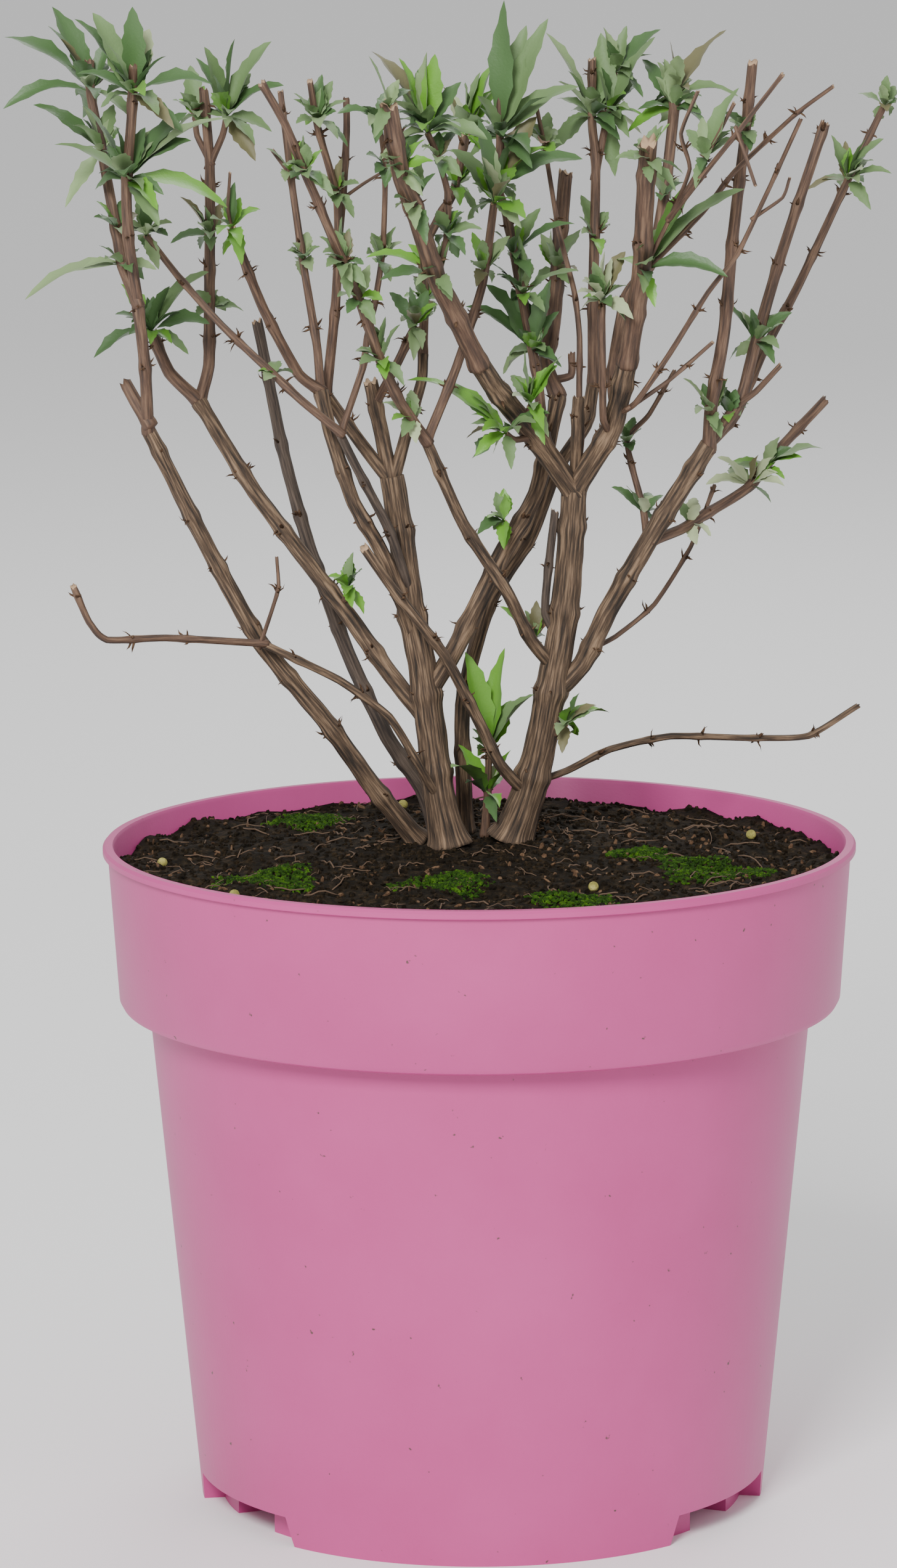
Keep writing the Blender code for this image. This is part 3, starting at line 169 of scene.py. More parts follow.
BOUGHS = (
    limb("trunk_left", "soil", (
        (-7.4, 167.2), (-10, 180, 8), (-12, 196, 9), (-14.3, 214, 10), (-16.8, 228, 11),
        (-19, 245, 12), (-21.5, 261, 12)), 4.2, 3.2, 1.35),
    limb("trunk_right", "soil", (
        (8.0, 168.6), (12.3, 180, 15), (16.2, 195, 15), (18.8, 210, 15), (21.3, 224, 15),
        (23, 240, 15), (24.5, 260.5, 14)), 4.6, 3.3, 1.35),
    limb("stem_far_left", "soil", (
        (-15.5, 168.4), (-26.5, 182, 8), (-38, 198.5, 4), (-55, 219.5, 0), (-70, 248, -6),
        (-82, 272.5, -12)), 2.6, 1.9, 1.25),
    limb("stem_back_left", "soil", (
        (-10.5, 170.8), (-14.5, 182, 27), (-23, 195, 27), (-33, 217, 30), (-42.3, 243.5, 36),
        (-48.7, 268.3, 42), (-54.7, 300, 50)), 2.1, 1.4, 1.25),
    limb("stem_rear", "soil", (
        (-3.5, 170.7), (-4, 203, 24), (2.8, 229, 27), (13.3, 246, 36), (19.5, 262, 40),
        (27, 273.5, 42), (29, 284, 44)), 2.1, 1.7, 1.25),
    limb("stem_left", "trunk_left", (
        (-13.2, 199.5, 9.3), (-22, 210.6, 12), (-34, 228, 16), (-56, 257.5, 22),
        (-69.4, 280, 27)), 2.3, 1.95),
    limb("stem_mid_left", "trunk_left", (
        (-14.8, 217, 10.2), (-22.8, 239.3, 6), (-31, 254.5, 2), (-36.5, 271.6, 2),
        (-39, 282.5, 4)), 2.0, 1.8),
    limb("stem_thin_left", "trunk_left", (
        (-17.2, 231, 11.2), (-18.6, 236.5, 7), (-22.4, 248, 3), (-30.5, 263.8, -3),
        (-34.2, 271.5, -6)), 1.35, 1.15),
    limb("fork_left", "trunk_left", (
        (-21.2, 259, 12), (-29.2, 269.5, 13), (-37.3, 281, 11)), 1.8, 1.6),
    limb("fork_middle", "trunk_left", (
        (-21.4, 259, 12), (-24.2, 272.8, 15), (-26.5, 284.7, 17)), 2.1, 1.9),
    limb("fork_right", "trunk_left", (
        (-21.2, 259, 12), (-17.2, 273.5, 14), (-13.8, 285, 18), (-13.4, 291.5, 20)), 1.8, 1.35),
    limb("stem_ribbed", "trunk_left", (
        (-13.2, 205, 9.6), (-6.2, 216.5, 10), (-1.8, 225.5, 11), (6.6, 242.3, 16),
        (14.7, 256.5, 24), (20.3, 281, 32)), 2.5, 2.0),
    limb("bough_front", "trunk_right", (
        (24, 257, 14.3), (15, 270, 6), (5.1, 282.3, -5), (0.6, 289, -12)), 3.0, 2.7),
    limb("bough_right", "trunk_right", (
        (24.4, 258, 14.2), (33.6, 273, 7), (37.5, 289, -1)), 3.0, 2.6),
    limb("stub_centre", "trunk_right", (
        (24.4, 258.5, 14), (24.9, 270, 11), (25.3, 280.5, 9)), 1.7, 1.6),
    limb("stem_leaning", "trunk_right", (
        (19, 212.5, 15), (13.2, 219.5, 9.5), (7.2, 231.8, 3), (-3.7, 249, -3),
        (-12.6, 269.5, -12)), 1.75, 1.5),
    limb("stub_crossing", "trunk_right", (
        (12.3, 180, 15), (5.3, 187.8, 8), (0, 199, 5), (-8.5, 215.6, -1), (-21.3, 232.5, -6),
        (-28.5, 243, -9)), 1.65, 1.25),
    limb("stub_grey", "trunk_right", (
        (20.4, 219, 15), (16.9, 226, 14), (17.5, 236, 14), (19.4, 252, 14)), 1.15, 1.1),
    limb("stem_right", "trunk_right", (
        (18, 205, 15), (26, 213.2, 16), (32.5, 226.7, 16), (43.3, 245.2, 14),
        (57.8, 268.5, 12)), 2.6, 2.4),
    limb("branch_low_left", "trunk_left", (
        (-9.4, 177.5, 7.8), (-14.8, 187, 1), (-22.5, 200, -2), (-35, 209.5, -4),
        (-53.6, 218.6, -6)), 1.15, 1.0),
    limb("branch_low_right", "trunk_right", (
        (13.2, 183, 15), (22, 186, 20), (33, 191.5, 26), (48.3, 194.8, 34), (70, 194.2, 45),
        (83, 194.7, 52), (95.4, 202.3, 58)), 1.0, 0.8),
)

SPRAYS = (
    Spray(
        limb("spray_far_left", "stem_far_left", (
            (-82.2, 273.4, -12.4), (-82.8, 289, -18), (-84.5, 306, -22), (-86.3, 319.7, -25),
            (-86.8, 333, -27), (-85.3, 350, -30), (-84.5, 363.5, -32)), 1.6, 1.25),
        forks=(
            fork((
                (-84.5, 305, -22), (-88, 314, -19), (-89.3, 322, -17), (-92.5, 341, -12),
                (-95.2, 356, -8), (-95.5, 364.5, -7)), 1.5, 1.15),
            fork(((-82.2, 275, -13), (-85.2, 280, -11), (-87.6, 284.5, -9)), 1.8, 1.6),
        ),
        tufts=(
            Tuft((-84.6, 356), 7, 13, (
                (-99, 375), (-98.5, 361.5), (-94.5, 376.5), (-84.5, 378), (-80.5, 372.5),
                (-76.5, 366), (-65.3, 359))),
            Tuft((-95.8, 357), 5, 13, (
                (-116.5, 370.5), (-117, 353), (-104.5, 378), (-105.5, 373.5), (-100, 372))),
            Tuft((-86.8, 335), 6, 12, (
                (-61.5, 328.5), (-70.5, 345), (-61.5, 350.3), (-71.5, 352), (-89, 348.5),
                (-97, 354), (-104.5, 344), (-77.5, 331.5))),
            Tuft((-92.8, 342), 4, 11, ((-109.5, 354), (-97.5, 353.5), (-102, 328.5))),
            Tuft((-89.3, 323), 3, 9, ((-95, 326),)),
            Tuft((-87.8, 314), 3, 10, ((-112.3, 305.5), (-98, 313.5), (-79.5, 313))),
        )),
    Spray(
        limb("spray_left_low", "stem_left", (
            (-69.9, 280.6, 27.2), (-76.7, 287.3, 25), (-81, 297.5, 20)), 1.8, 1.5),
        tufts=(
            Tuft((-81, 298), 5, 9, (
                (-95.5, 291), (-90, 302), (-88.5, 309.5), (-66.7, 312.5), (-66.5, 299.5),
                (-74, 302.5), (-76.5, 309))),
        )),
    Spray(
        limb("spray_left", "stem_left", (
            (-69, 280.9, 27.4), (-66.8, 289, 30), (-66.5, 304, 33), (-66.2, 320, 36),
            (-66, 339.3, 38), (-67.3, 357.5, 40)), 1.65, 1.25),
        forks=(
            fork(((-66, 339, 38), (-62.8, 346, 37), (-61.7, 350.5, 36)), 1.0, 0.85),
            fork(((-66, 340, 38), (-69, 346, 41), (-69.5, 351, 42)), 0.9, 0.75),
        ),
        tufts=(
            Tuft((-61.7, 351), 6, 11, (
                (-67, 368), (-59.8, 370), (-69, 365.5), (-50.5, 369.3), (-47.5, 358.5),
                (-50.5, 347), (-55.5, 344))),
            Tuft((-69.5, 351.5), 5, 9, ((-70.5, 363.5), (-75, 355))),
            Tuft((-66.2, 321), 4, 9, ((-73.5, 331), (-76, 319.5), (-67.5, 329))),
            Tuft((-66.5, 303), 2, 7, ((-58, 302.5), (-61.5, 305))),
        )),
    Spray(
        limb("spray_cross", "stem_thin_left", (
            (-34.5, 272.3, -6.4), (-43.7, 280, -7), (-50.5, 286.5, -5), (-63.5, 299, 4),
            (-74, 311, 8), (-82, 321.5, 10)), 1.15, 0.85),
        tufts=(
            Tuft((-82, 322), 5, 9, ((-82, 333.5), (-75.5, 324.5), (-79, 313))),
            Tuft((-50.5, 286.5), 2, 5),
        )),
    Spray(
        limb("spray_mid_left_a", "stem_mid_left", (
            (-39.4, 283, 4), (-44.5, 286.8, 3), (-52.7, 302.3, -2), (-57, 313, -8),
            (-60.8, 323, -12)), 1.5, 1.15),
        forks=(fork(((-60.6, 322.5, -12), (-61.6, 328, -13), (-61, 337, -15)), 0.5, 0.4),),
        tufts=(
            Tuft((-61, 323), 4, 9, ((-53.5, 327.8), (-63, 316.5))),
        )),
    Spray(
        limb("spray_mid_left_b", "stem_mid_left", (
            (-39.1, 283.2, 4.2), (-39.8, 293.5, 8), (-43, 314, 14), (-46, 336.5, 20),
            (-48.3, 357, 24)), 1.2, 0.8),
        forks=(fork(((-46, 336.5, 20), (-50.5, 342.5, 22)), 0.7, 0.55),),
        tufts=(
            Tuft((-43.2, 315), 4, 7, ((-47, 317.5), (-38.8, 318.5))),
            Tuft((-46, 337), 3, 7),
        )),
    Spray(
        limb("spray_mid_left_c", "fork_left", (
            (-37.6, 281.6, 11), (-35.2, 303, 9), (-34.3, 318, 6), (-34.6, 331, 3),
            (-39.3, 348.5, -4), (-41, 359.5, -7)), 1.45, 0.8),
        forks=(
            fork(((-34.2, 320, 6), (-33, 331, 9), (-32, 347, 12), (-32, 355, 13)), 1.0, 0.9),
            fork(((-33, 330.5, 9), (-28, 334, 12), (-23, 337, 14)), 0.5, 0.4),
        ),
        tufts=(
            Tuft((-39.3, 349.5), 5, 9, ((-45, 356.5), (-32, 354.5), (-44.5, 349), (-34.5, 352))),
            Tuft((-34.6, 331.5), 4, 7, ((-37.5, 336), (-29, 334))),
        )),
    Spray(
        limb("spray_mid_left_d", "stem_thin_left", (
            (-33.9, 272.4, -6), (-28.5, 288, 0), (-27.3, 296, 2), (-25, 306, 2),
            (-23.2, 318, 0), (-22.5, 337.5, -4), (-24, 350, -7)), 0.95, 0.65),
        tufts=(
            Tuft((-23.7, 314.5), 4, 8, ((-26, 322), (-23.5, 321.5))),
            Tuft((-22.5, 338), 3, 6),
            Tuft((-24, 350), 3, 8, ((-34.3, 351.5),)),
        )),
    Spray(
        limb("spray_leaning", "stem_leaning", (
            (-12.9, 270.3, -12.4), (-19, 279.3, -17), (-24, 290, -22), (-29, 304.7, -28),
            (-32.7, 313.3, -33), (-39.5, 330, -41), (-42.5, 337, -44), (-47.3, 349, -48),
            (-53, 359, -52)), 1.5, 1.0),
        tufts=(
            Tuft((-16.3, 275), 3, 7, ((-23.7, 279.5), (-19.7, 281.5))),
            Tuft((-23.6, 290), 5, 8, ((-22.7, 301), (-19, 299), (-29, 293.5))),
            Tuft((-29, 305.5), 3, 7, ((-26.5, 314), (-23.3, 305))),
            Tuft((-33, 314), 5, 9, ((-39, 321), (-31.5, 323), (-35, 322.5), (-31.7, 305.5), (-28, 314))),
            Tuft((-42.3, 337), 5, 8, ((-42, 344), (-38, 342.5), (-46, 338))),
        )),
    Spray(
        limb("spray_slender", "stem_leaning", (
            (-12.4, 270.4, -12), (-5, 288.5, -4), (1.5, 309, 6), (4.5, 329, 9)), 1.3, 1.05),
        tufts=(
            Tuft((4.5, 330), 6, 11, ((-6, 342.5), (0.5, 350), (3.5, 345), (-1, 334))),
            Tuft((1.8, 312), 3, 9, ((1.5, 320), (-1, 322))),
        )),
    Spray(
        limb("spray_centre_left", "fork_right", (
            (-13.4, 292.2, 20.2), (-13, 304, 23), (-13.3, 317, 26), (-9, 326, 28),
            (-5.5, 332, 30), (-2.5, 346, 32)), 1.25, 1.15),
        tufts=(
            Tuft((-2.5, 347), 7, 12, ((7.5, 368.3), (4, 356.5), (1, 361.5), (-8, 358), (2, 342))),
            Tuft((-13, 304.5), 3, 8, ((-18, 306), (-8, 305))),
            Tuft((-5.3, 333), 3, 8, ((0.5, 326.5), (-1, 338))),
        )),
    Spray(
        limb("spray_dark", "fork_middle", (
            (-25.4, 279, 16), (-20.5, 288, 12), (-15.4, 298.5, 9)), 1.3, 1.1),
        tufts=(
            Tuft((-15.6, 299), 5, 8, ((-21.7, 307), (-16.5, 308.5), (-12, 307.5))),
        )),
    Spray(
        limb("spray_front", "bough_front", (
            (0.2, 289.6, -12.6), (-6, 302.8, -22), (-10, 310.5, -28), (-15.5, 328, -38),
            (-18.5, 336, -42), (-21.5, 353.5, -48)), 2.65, 2.2),
        forks=(
            fork((
                (-10, 310, -28), (-7.4, 320, -26), (-7.1, 332, -25), (-10, 342, -27),
                (-12, 346.5, -28)), 0.95, 0.8),
        ),
        tufts=(
            Tuft((-12, 347.5), 8, 13, (
                (-25.5, 367), (-19, 365), (-12, 366.5), (-10, 366), (-21, 358.5), (-3.5, 359),
                (-4, 350))),
            Tuft((-21.5, 353), 2, 8, ((-26.5, 365.5),)),
            Tuft((-18.5, 337), 5, 8, ((-12.5, 345), (-22.8, 339.5), (-10.5, 339.5))),
            Tuft((-14.8, 329), 4, 9, ((-10, 336.5), (-20, 328))),
            Tuft((-7.4, 321), 4, 8, ((-3, 327), (-4.5, 315.5), (1.5, 322.5))),
            Tuft((-10, 311), 4, 9, ((-27.5, 315.8), (-17, 319), (-24, 310))),
            Tuft((-9.5, 340), 3, 8, ((-6, 345), (-3.5, 335.5))),
        )),
    Spray(
        limb("spray_centre", "trunk_right", (
            (24, 257.5, 14.3), (17, 270.4, 21), (15, 286, 23), (11.4, 305.5, 23), (7.5, 326, 24),
            (5.5, 333, 24), (6, 344, 25), (6, 356.5, 26)), 1.5, 1.0),
        tufts=(
            Tuft((6, 345), 6, 13, ((7, 379), (18, 374.5), (12.5, 373), (25.5, 358), (18, 355.5))),
            Tuft((5.6, 333), 5, 11, ((15, 350.5), (26.5, 340), (11, 348), (17.5, 343))),
            Tuft((9.5, 316), 4, 10, ((16, 327.8), (24.5, 323.8))),
            Tuft((11.4, 306), 5, 10, ((3, 314.5), (25.5, 312.2), (12, 317), (10.7, 321))),
            Tuft((14, 292), 6, 10, ((-2.7, 303.5), (2.5, 309), (18.5, 310), (20.5, 302), (8.8, 308))),
        )),
    Spray(
        limb("spray_thread", "trunk_right", (
            (24.4, 258.5, 14.3), (26, 270, 22), (25.5, 281, 24), (25.6, 295.7, 27),
            (24.3, 307, 29), (20.5, 322, 33), (17.2, 342, 38), (14.8, 354, 41)), 0.95, 0.55),
        tufts=(
            Tuft((17, 343), 4, 8, ((21.5, 343.5), (12, 349))),
        )),
    Spray(
        limb("spray_torn", "stem_ribbed", (
            (19.9, 281.8, 32.6), (17.2, 289, 36), (19, 299, 40), (20.4, 317, 46),
            (22.3, 336.5, 52)), 2.1, 1.8),
        forks=(fork(((18.6, 285, 34), (23.4, 286, 35), (23.6, 291.5, 36)), 1.1, 1.0),),
        tufts=(
            Tuft((20.2, 312), 5, 9, ((16, 321.5), (26, 322.5), (22, 318))),
        )),
    Spray(
        limb("spray_back", "stem_rear", (
            (29, 284.8, 44.2), (29, 304, 47), (29.7, 338, 52), (28.8, 348.5, 54),
            (28.8, 364.5, 56)), 1.6, 1.1),
        forks=(fork(((29.6, 336, 52), (32.5, 350, 56), (35, 361, 59)), 1.1, 0.85),),
        tufts=(
            Tuft((28.8, 350), 6, 12, ((17.3, 371), (20.5, 359), (20, 355), (22, 348), (18, 341.5))),
            Tuft((32.7, 351), 6, 11, (
                (44.3, 370), (40, 359.5), (41.5, 350.3), (41, 346), (34.5, 335.5), (31, 371))),
            Tuft((35, 361), 6, 9, ((31.5, 372.3), (37.3, 372.7), (45.8, 371.7), (43.7, 365.5))),
            Tuft((29.3, 320), 3, 9, ((26, 331),)),
        )),
    Spray(
        limb("spray_straight", "bough_right", (
            (33.2, 271.8, 7.6), (31.5, 275, 1), (31.3, 288, -4), (31.1, 304.5, -6)), 1.0, 0.95),
        tufts=(
            Tuft((31.1, 305.5), 6, 9, ((25, 306.7), (29, 314.5), (32, 317), (37.5, 308.5), (37, 317))),
        )),
    Spray(
        limb("spray_back_right", "bough_right", (
            (34.7, 276.5, 5.2), (33.8, 287, 17), (37.3, 305.8, 30), (43.5, 314, 36),
            (47, 333, 46), (49.5, 355.5, 56)), 1.6, 1.45),
        tufts=(
            Tuft((49, 352), 6, 11, ((41.2, 364.5), (46.7, 364.5), (40, 352), (50, 359))),
            Tuft((49.5, 355.5), 5, 11, ((48.2, 369), (62, 371.5), (65, 355.2))),
            Tuft((46.5, 330), 3, 9, ((52, 334),)),
        )),
    Spray(
        limb("spray_right", "bough_right", (
            (37.7, 289.8, -1.4), (40.8, 310.3, -12), (41.8, 327, -21), (42.8, 344, -30)), 2.55, 2.2),
        forks=(
            fork((
                (41, 311, -12), (48.5, 326, -18), (53, 337.3, -21), (50.8, 346, -20),
                (55, 356.5, -19)), 0.6, 0.5),
            fork(((48.3, 325.5, -18), (57.5, 341, -25), (64, 353.5, -29)), 0.6, 0.45),
            fork((
                (48.3, 325.5, -18), (56.5, 336, -30), (65, 346.5, -38), (76, 360.5, -44)), 0.75, 0.55),
            fork((
                (41, 311, -12), (56, 326.3, -10), (64.5, 337, -13), (79, 350.5, -34),
                (88.5, 357.5, -42)), 0.8, 0.5),
            fork(((64.8, 346.2, -38), (69.3, 333, -40)), 0.5, 0.45),
        ),
        tufts=(
            Tuft((41.2, 312), 5, 10, (
                (56.5, 336), (66.5, 332.5), (47, 323.5), (62.5, 310.5))),
            Tuft((42.5, 339), 5, 9, ((34.5, 340), (48, 348.5), (51.5, 336))),
            Tuft((57, 340), 4, 9, ((52, 347), (56, 350), (65, 357.3))),
        )),
    Spray(
        limb("spray_slim_right", "bough_right", (
            (35.2, 276.5, 5), (39.5, 279, -1), (48, 291.3, -5), (57.5, 306.5, -9),
            (64.8, 316, -12), (72.5, 332, -16), (80.5, 349.5, -20)), 0.8, 0.55),
        forks=(
            fork(((38.5, 278.2, 0), (48, 284.8, -1), (58.8, 294.2, -2)), 0.6, 0.5),
            fork(((69.5, 325.5, -14), (76, 330, -12), (77.8, 335, -11)), 0.5, 0.4),
        )),
    Spray(
        limb("spray_right_front", "stem_right", (
            (57.9, 268.2, 12), (58.4, 277.8, 9), (61.6, 297, 4), (63.6, 319, -1),
            (66.7, 346, -8), (68.5, 363.5, -12)), 1.8, 1.3),
        tufts=(
            Tuft((58.3, 276), 4, 9, ((51.5, 285.3), (56.3, 284))),
            Tuft((66.7, 346.5), 4, 7, ((60, 351), (62.5, 349.5))),
        )),
    Spray(
        limb("spray_right_mid", "stem_right", (
            (57.6, 268.3, 12.2), (65.7, 279.7, 17), (69, 292.4, 21), (75.6, 315.4, 29),
            (86.5, 348.5, 39)), 1.65, 1.3),
        forks=(fork(((65, 278.5, 16), (69.5, 281.8, 14), (75.7, 288.4, 11)), 0.9, 0.7),),
        tufts=(
            Tuft((69.2, 294), 5, 10, ((61, 304), (66, 302), (78.5, 301.5), (64.5, 290.5))),
            Tuft((62.8, 276), 3, 7, ((61.5, 283), (64.5, 282.5))),
        )),
    Spray(
        limb("spray_right_back", "stem_right", (
            (57.4, 268.2, 12.4), (64.5, 276, 27), (71, 291, 36), (79.7, 307.6, 45),
            (91.5, 332.8, 58), (101, 352.5, 68)), 1.5, 0.9),
        tufts=(
            Tuft((92, 334), 6, 10, ((88, 345.5), (91.5, 344), (96.5, 344.5), (101, 344.5), (103, 336))),
            Tuft((101, 352.5), 4, 7, ((94.5, 355.7), (103.8, 357.5))),
        )),
    Spray(
        limb("spray_side", "stem_right", (
            (44, 244.6, 14), (51, 247.3, 20), (57, 251, 26), (67.7, 257.7, 36), (76, 268, 46),
            (87, 279.7, 56)), 1.45, 1.25),
        tufts=(
            Tuft((67.7, 258.5), 4, 9, ((60, 265.5), (70.2, 266))),
            Tuft((71, 261.8), 3, 10, ((75.5, 270.5), (86.3, 267.5))),
            Tuft((53, 248.6), 2, 7, ((55.5, 253.5),)),
        )),
    Spray(
        limb("spray_small_right", "stem_right", (
            (42.4, 243.8, 14.2), (41.5, 252, 19), (37.4, 269.4, 23), (43, 276.3, 23),
            (49.3, 287.3, 21)), 1.1, 0.5),
        tufts=(
            Tuft((41.6, 251), 3, 8, ((33.5, 258), (46.5, 256))),
            Tuft((37.6, 269), 3, 7),
        )),
    Spray(
        limb("spray_thin_far_right", "stem_right", (
            (27.6, 216.7, 16), (34.5, 220.2, 21), (44.3, 228.4, 29), (53.3, 242.7, 37),
            (59.3, 258.3, 43)), 0.7, 0.55)),
    Spray(
        limb("branch_low_left_tip", "branch_low_left", (
            (-54.3, 218.9, -6.3), (-78.3, 220.4, -14), (-93.3, 220, -20), (-97.7, 224.5, -22),
            (-101.5, 233.6, -24)), 1.0, 0.85),
        forks=(
            fork((
                (-54.6, 219, -6.4), (-51.6, 227.7, -8), (-50, 233.3, -9), (-50.4, 240.8, -10)),
                0.6, 0.45),
        )),
    Spray(
        limb("sprout_base", "soil", ((1.4, 169.3), (2.2, 180, 19), (2.6, 191, 18)), 1.3, 0.9),
        tufts=(
            Tuft((2.6, 191), 5, 12, ((-3, 216.5), (6.5, 217.5), (14, 205.5))),
            Tuft((2.2, 180), 4, 10, ((-5, 193), (-7, 187, 4), (8, 187, 2))),
        )),
    Spray(
        limb("sprout_right_base", "trunk_right", (
            (16.2, 194.4, 15), (20.2, 195.8, 12), (22, 197.8, 11)), 0.9, 0.75),
        tufts=(Tuft((22, 198), 4, 8, ((25.5, 206), (33, 201), (25, 195))),)),
    Spray(
        limb("sprout_trunk_left_side", "trunk_right", (
            (18.9, 211, 15), (15.2, 216, 18), (14.3, 219.5, 19)), 0.9, 0.75),
        tufts=(Tuft((14.3, 219.6), 4, 8, ((5.5, 228), (11.8, 227), (14.7, 229.5))),)),
    Spray(
        limb("sprout_ribbed", "stem_ribbed", (
            (8.9, 246, 18.2), (7.4, 248.2, 12), (6.6, 249.6, 10)), 0.8, 0.7),
        tufts=(Tuft((6.6, 249.8), 4, 8, ((4.5, 257), (3.2, 251.7), (4, 247.3))),)),
    Spray(
        limb("sprout_stem_left", "stem_left", (
            (-34.6, 228.6, 16.2), (-32.4, 231.2, 13), (-32.6, 233, 12)), 0.85, 0.7),
        tufts=(Tuft((-32.6, 233), 4, 7, ((-29, 237.5), (-37.5, 236))),)),
    Spray(
        limb("sprout_bough_under", "bough_front", (
            (14.3, 270.8, 5.3), (9.4, 270, -1), (7.2, 271.6, -3)), 0.95, 0.8),
        tufts=(
            Tuft((7.2, 271.8), 6, 11, (
                (-17.5, 285.5), (0.3, 284.5), (-1.8, 274), (-0.6, 266), (8.5, 262.5))),
        )),
    Spray(
        limb("sprout_bough_over", "bough_front", (
            (11.5, 274.5, 2), (12.8, 277, -2), (13.2, 278.5, -3)), 0.95, 0.8),
        tufts=(
            Tuft((13.2, 279), 5, 10, ((12, 292.5), (21.3, 291), (14.5, 286), (8.8, 281))),
        )),
)


def limb_stations(part: Limb) -> list:
    """A limb's course with its radii.

    Args:
        part: the limb.

    Returns:
        (point, radius) pairs: its ends, and a swollen knot at each bend.
    """
    points = [place(*spot) for spot in part.course]
    spans = [(b - a).length for a, b in zip(points, points[1:])]
    length = sum(spans)
    run = 0.0
    stations = [(points[0], part.foot_r * part.flare)]
    if part.flare > 1.0:
        rise = (points[1] - points[0]).normalized() * part.foot_r * FLARE_RISE
        stations.append((points[0] + rise, part.foot_r * FLARE_NECK))
    for here, span in zip(points[1:-1], spans):
        run += span
        radius = part.foot_r + (part.tip_r - part.foot_r) * run / length
        stations.append((here, radius * KNOT_SWELL))
    stations.append((points[-1], part.tip_r))
    return stations


def beads(part: Limb) -> np.ndarray:
    """Points close together along a limb, to measure clearances by.

    Args:
        part: the limb.

    Returns:
        Rows of x, y, z and radius in mm.
    """
    rows = []
    stations = limb_stations(part)
    for (a, ra), (b, rb) in zip(stations, stations[1:]):
        count = max(1, math.ceil((b - a).length / BEAD_STEP))
        for i in range(count):
            spot = a.lerp(b, i / count)
            rows.append((*spot, ra + (rb - ra) * i / count))
    rows.append((*stations[-1][0], stations[-1][1]))
    return np.array(rows)


def room_between(rows: np.ndarray, others: np.ndarray) -> float:
    """The least clearance between two sets of beads.

    Args:
        rows: one set, as x, y, z and radius.
        others: the other set.

    Returns:
        The clearance in mm, below zero where they overlap.
    """
    if not len(rows) or not len(others):
        return math.inf
    apart = np.linalg.norm(rows[:, None, :3] - others[None, :, :3], axis=2)
    return float((apart - rows[:, None, 3] - others[None, :, 3]).min())


def leaf_spine(root: Vector, tip: Vector, lift: float, steps: int) -> list:
    """Points along a leaf's arched midrib.

    Args:
        root: where the leaf starts.
        tip: where it ends.
        lift: how far its arch is pulled up, mm.
        steps: number of stretches.

    Returns:
        The points from root to tip.
    """
    bend = root.lerp(tip, 0.5) + Vector((0, 0, lift))
    spine = []
    for i in range(steps + 1):
        t = i / steps
        spine.append(root * (1 - t) ** 2 + bend * (2 * t * (1 - t)) + tip * t ** 2)
    return spine


@dataclass
class Leaf:
    """One leaf: its arched midrib, its widest width, its face's way and its arch."""

    spine: list
    width: float
    face: Vector
    lift: float

    def width_at(self, t: float) -> float:
        """Lance-shaped width at a share of the length."""
        full = math.sin(math.pi * min(t, 0.999) ** LANCE_LEAN) ** LANCE_FULL
        return self.width * min(1.0, full + LANCE_LEAST)

    def beads(self) -> np.ndarray:
        """Clearance beads along the outer part of the leaf, as rows of x, y, z and radius."""
        last = len(self.spine) - 1
        rows = []
        for i in range(BARE_BEADS, LEAF_BEADS + 1):
            t = i / LEAF_BEADS
            low = min(int(t * last), last - 1)
            spot = self.spine[low].lerp(self.spine[low + 1], t * last - low)
            rows.append((*spot, BEAD_SHARE * self.width_at(t) + LEAF_ROOM))
        return np.array(rows)


def root_of(spray: Spray, tuft: Tuft) -> tuple:
    """Where a tuft's leaves start.

    Args:
        spray: the spray that carries the tuft.
        tuft: the whorl.

    Returns:
        The point on the spray's twigs that lies nearest to the tuft's place, the twig's
        direction there, and the point's sighted depth.
    """
    best = None
    for part in (spray.stem, *spray.forks):
        for a, b in zip(part.course, part.course[1:]):
            run = (b[0] - a[0], b[1] - a[1])
            size = run[0] ** 2 + run[1] ** 2
            share = ((tuft.at[0] - a[0]) * run[0] + (tuft.at[1] - a[1]) * run[1]) / size
            share = min(max(share, 0.0), 1.0)
            spot = [a[i] + (b[i] - a[i]) * share for i in range(3)]
            miss = math.dist(spot[:2], tuft.at)
            if best is None or miss < best[0]:
                best = (miss, place(*spot), (place(*b) - place(*a)).normalized(), spot[2])
    return best[1:]


def finished_piece(name: str, bm: bmesh.types.BMesh, materials: list,
                   smooth: bool = True) -> bpy.types.Object:
    """A new mesh object at the origin that takes over a bmesh.

    Args:
        name: the object's name.
        bm: its shape, in metres.
        materials: its finishes, in the order of their slots.
        smooth: whether its faces are shaded smooth.

    Returns:
        The object, linked to the scene.
    """
    mesh = bpy.data.meshes.new(name)
    bm.to_mesh(mesh)
    bm.free()
    for material in materials:
        mesh.materials.append(material)
    if smooth:
        mesh.shade_smooth()
    obj = bpy.data.objects.new(name, mesh)
    bpy.context.scene.collection.objects.link(obj)
    return obj


def dress(obj: bpy.types.Object, slot: str, *nodes: str) -> None:
    """Sets a piece on the body, hides the solids that it stands for, and reports it.

    Args:
        obj: the piece.
        slot: the record's material slot; not used.
        nodes: the solids that the piece replaces.
    """
    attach(obj, "root")
    if nodes:
        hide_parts(*nodes)
    log.info("%s: %d faces", obj.name, len(obj.data.polygons))


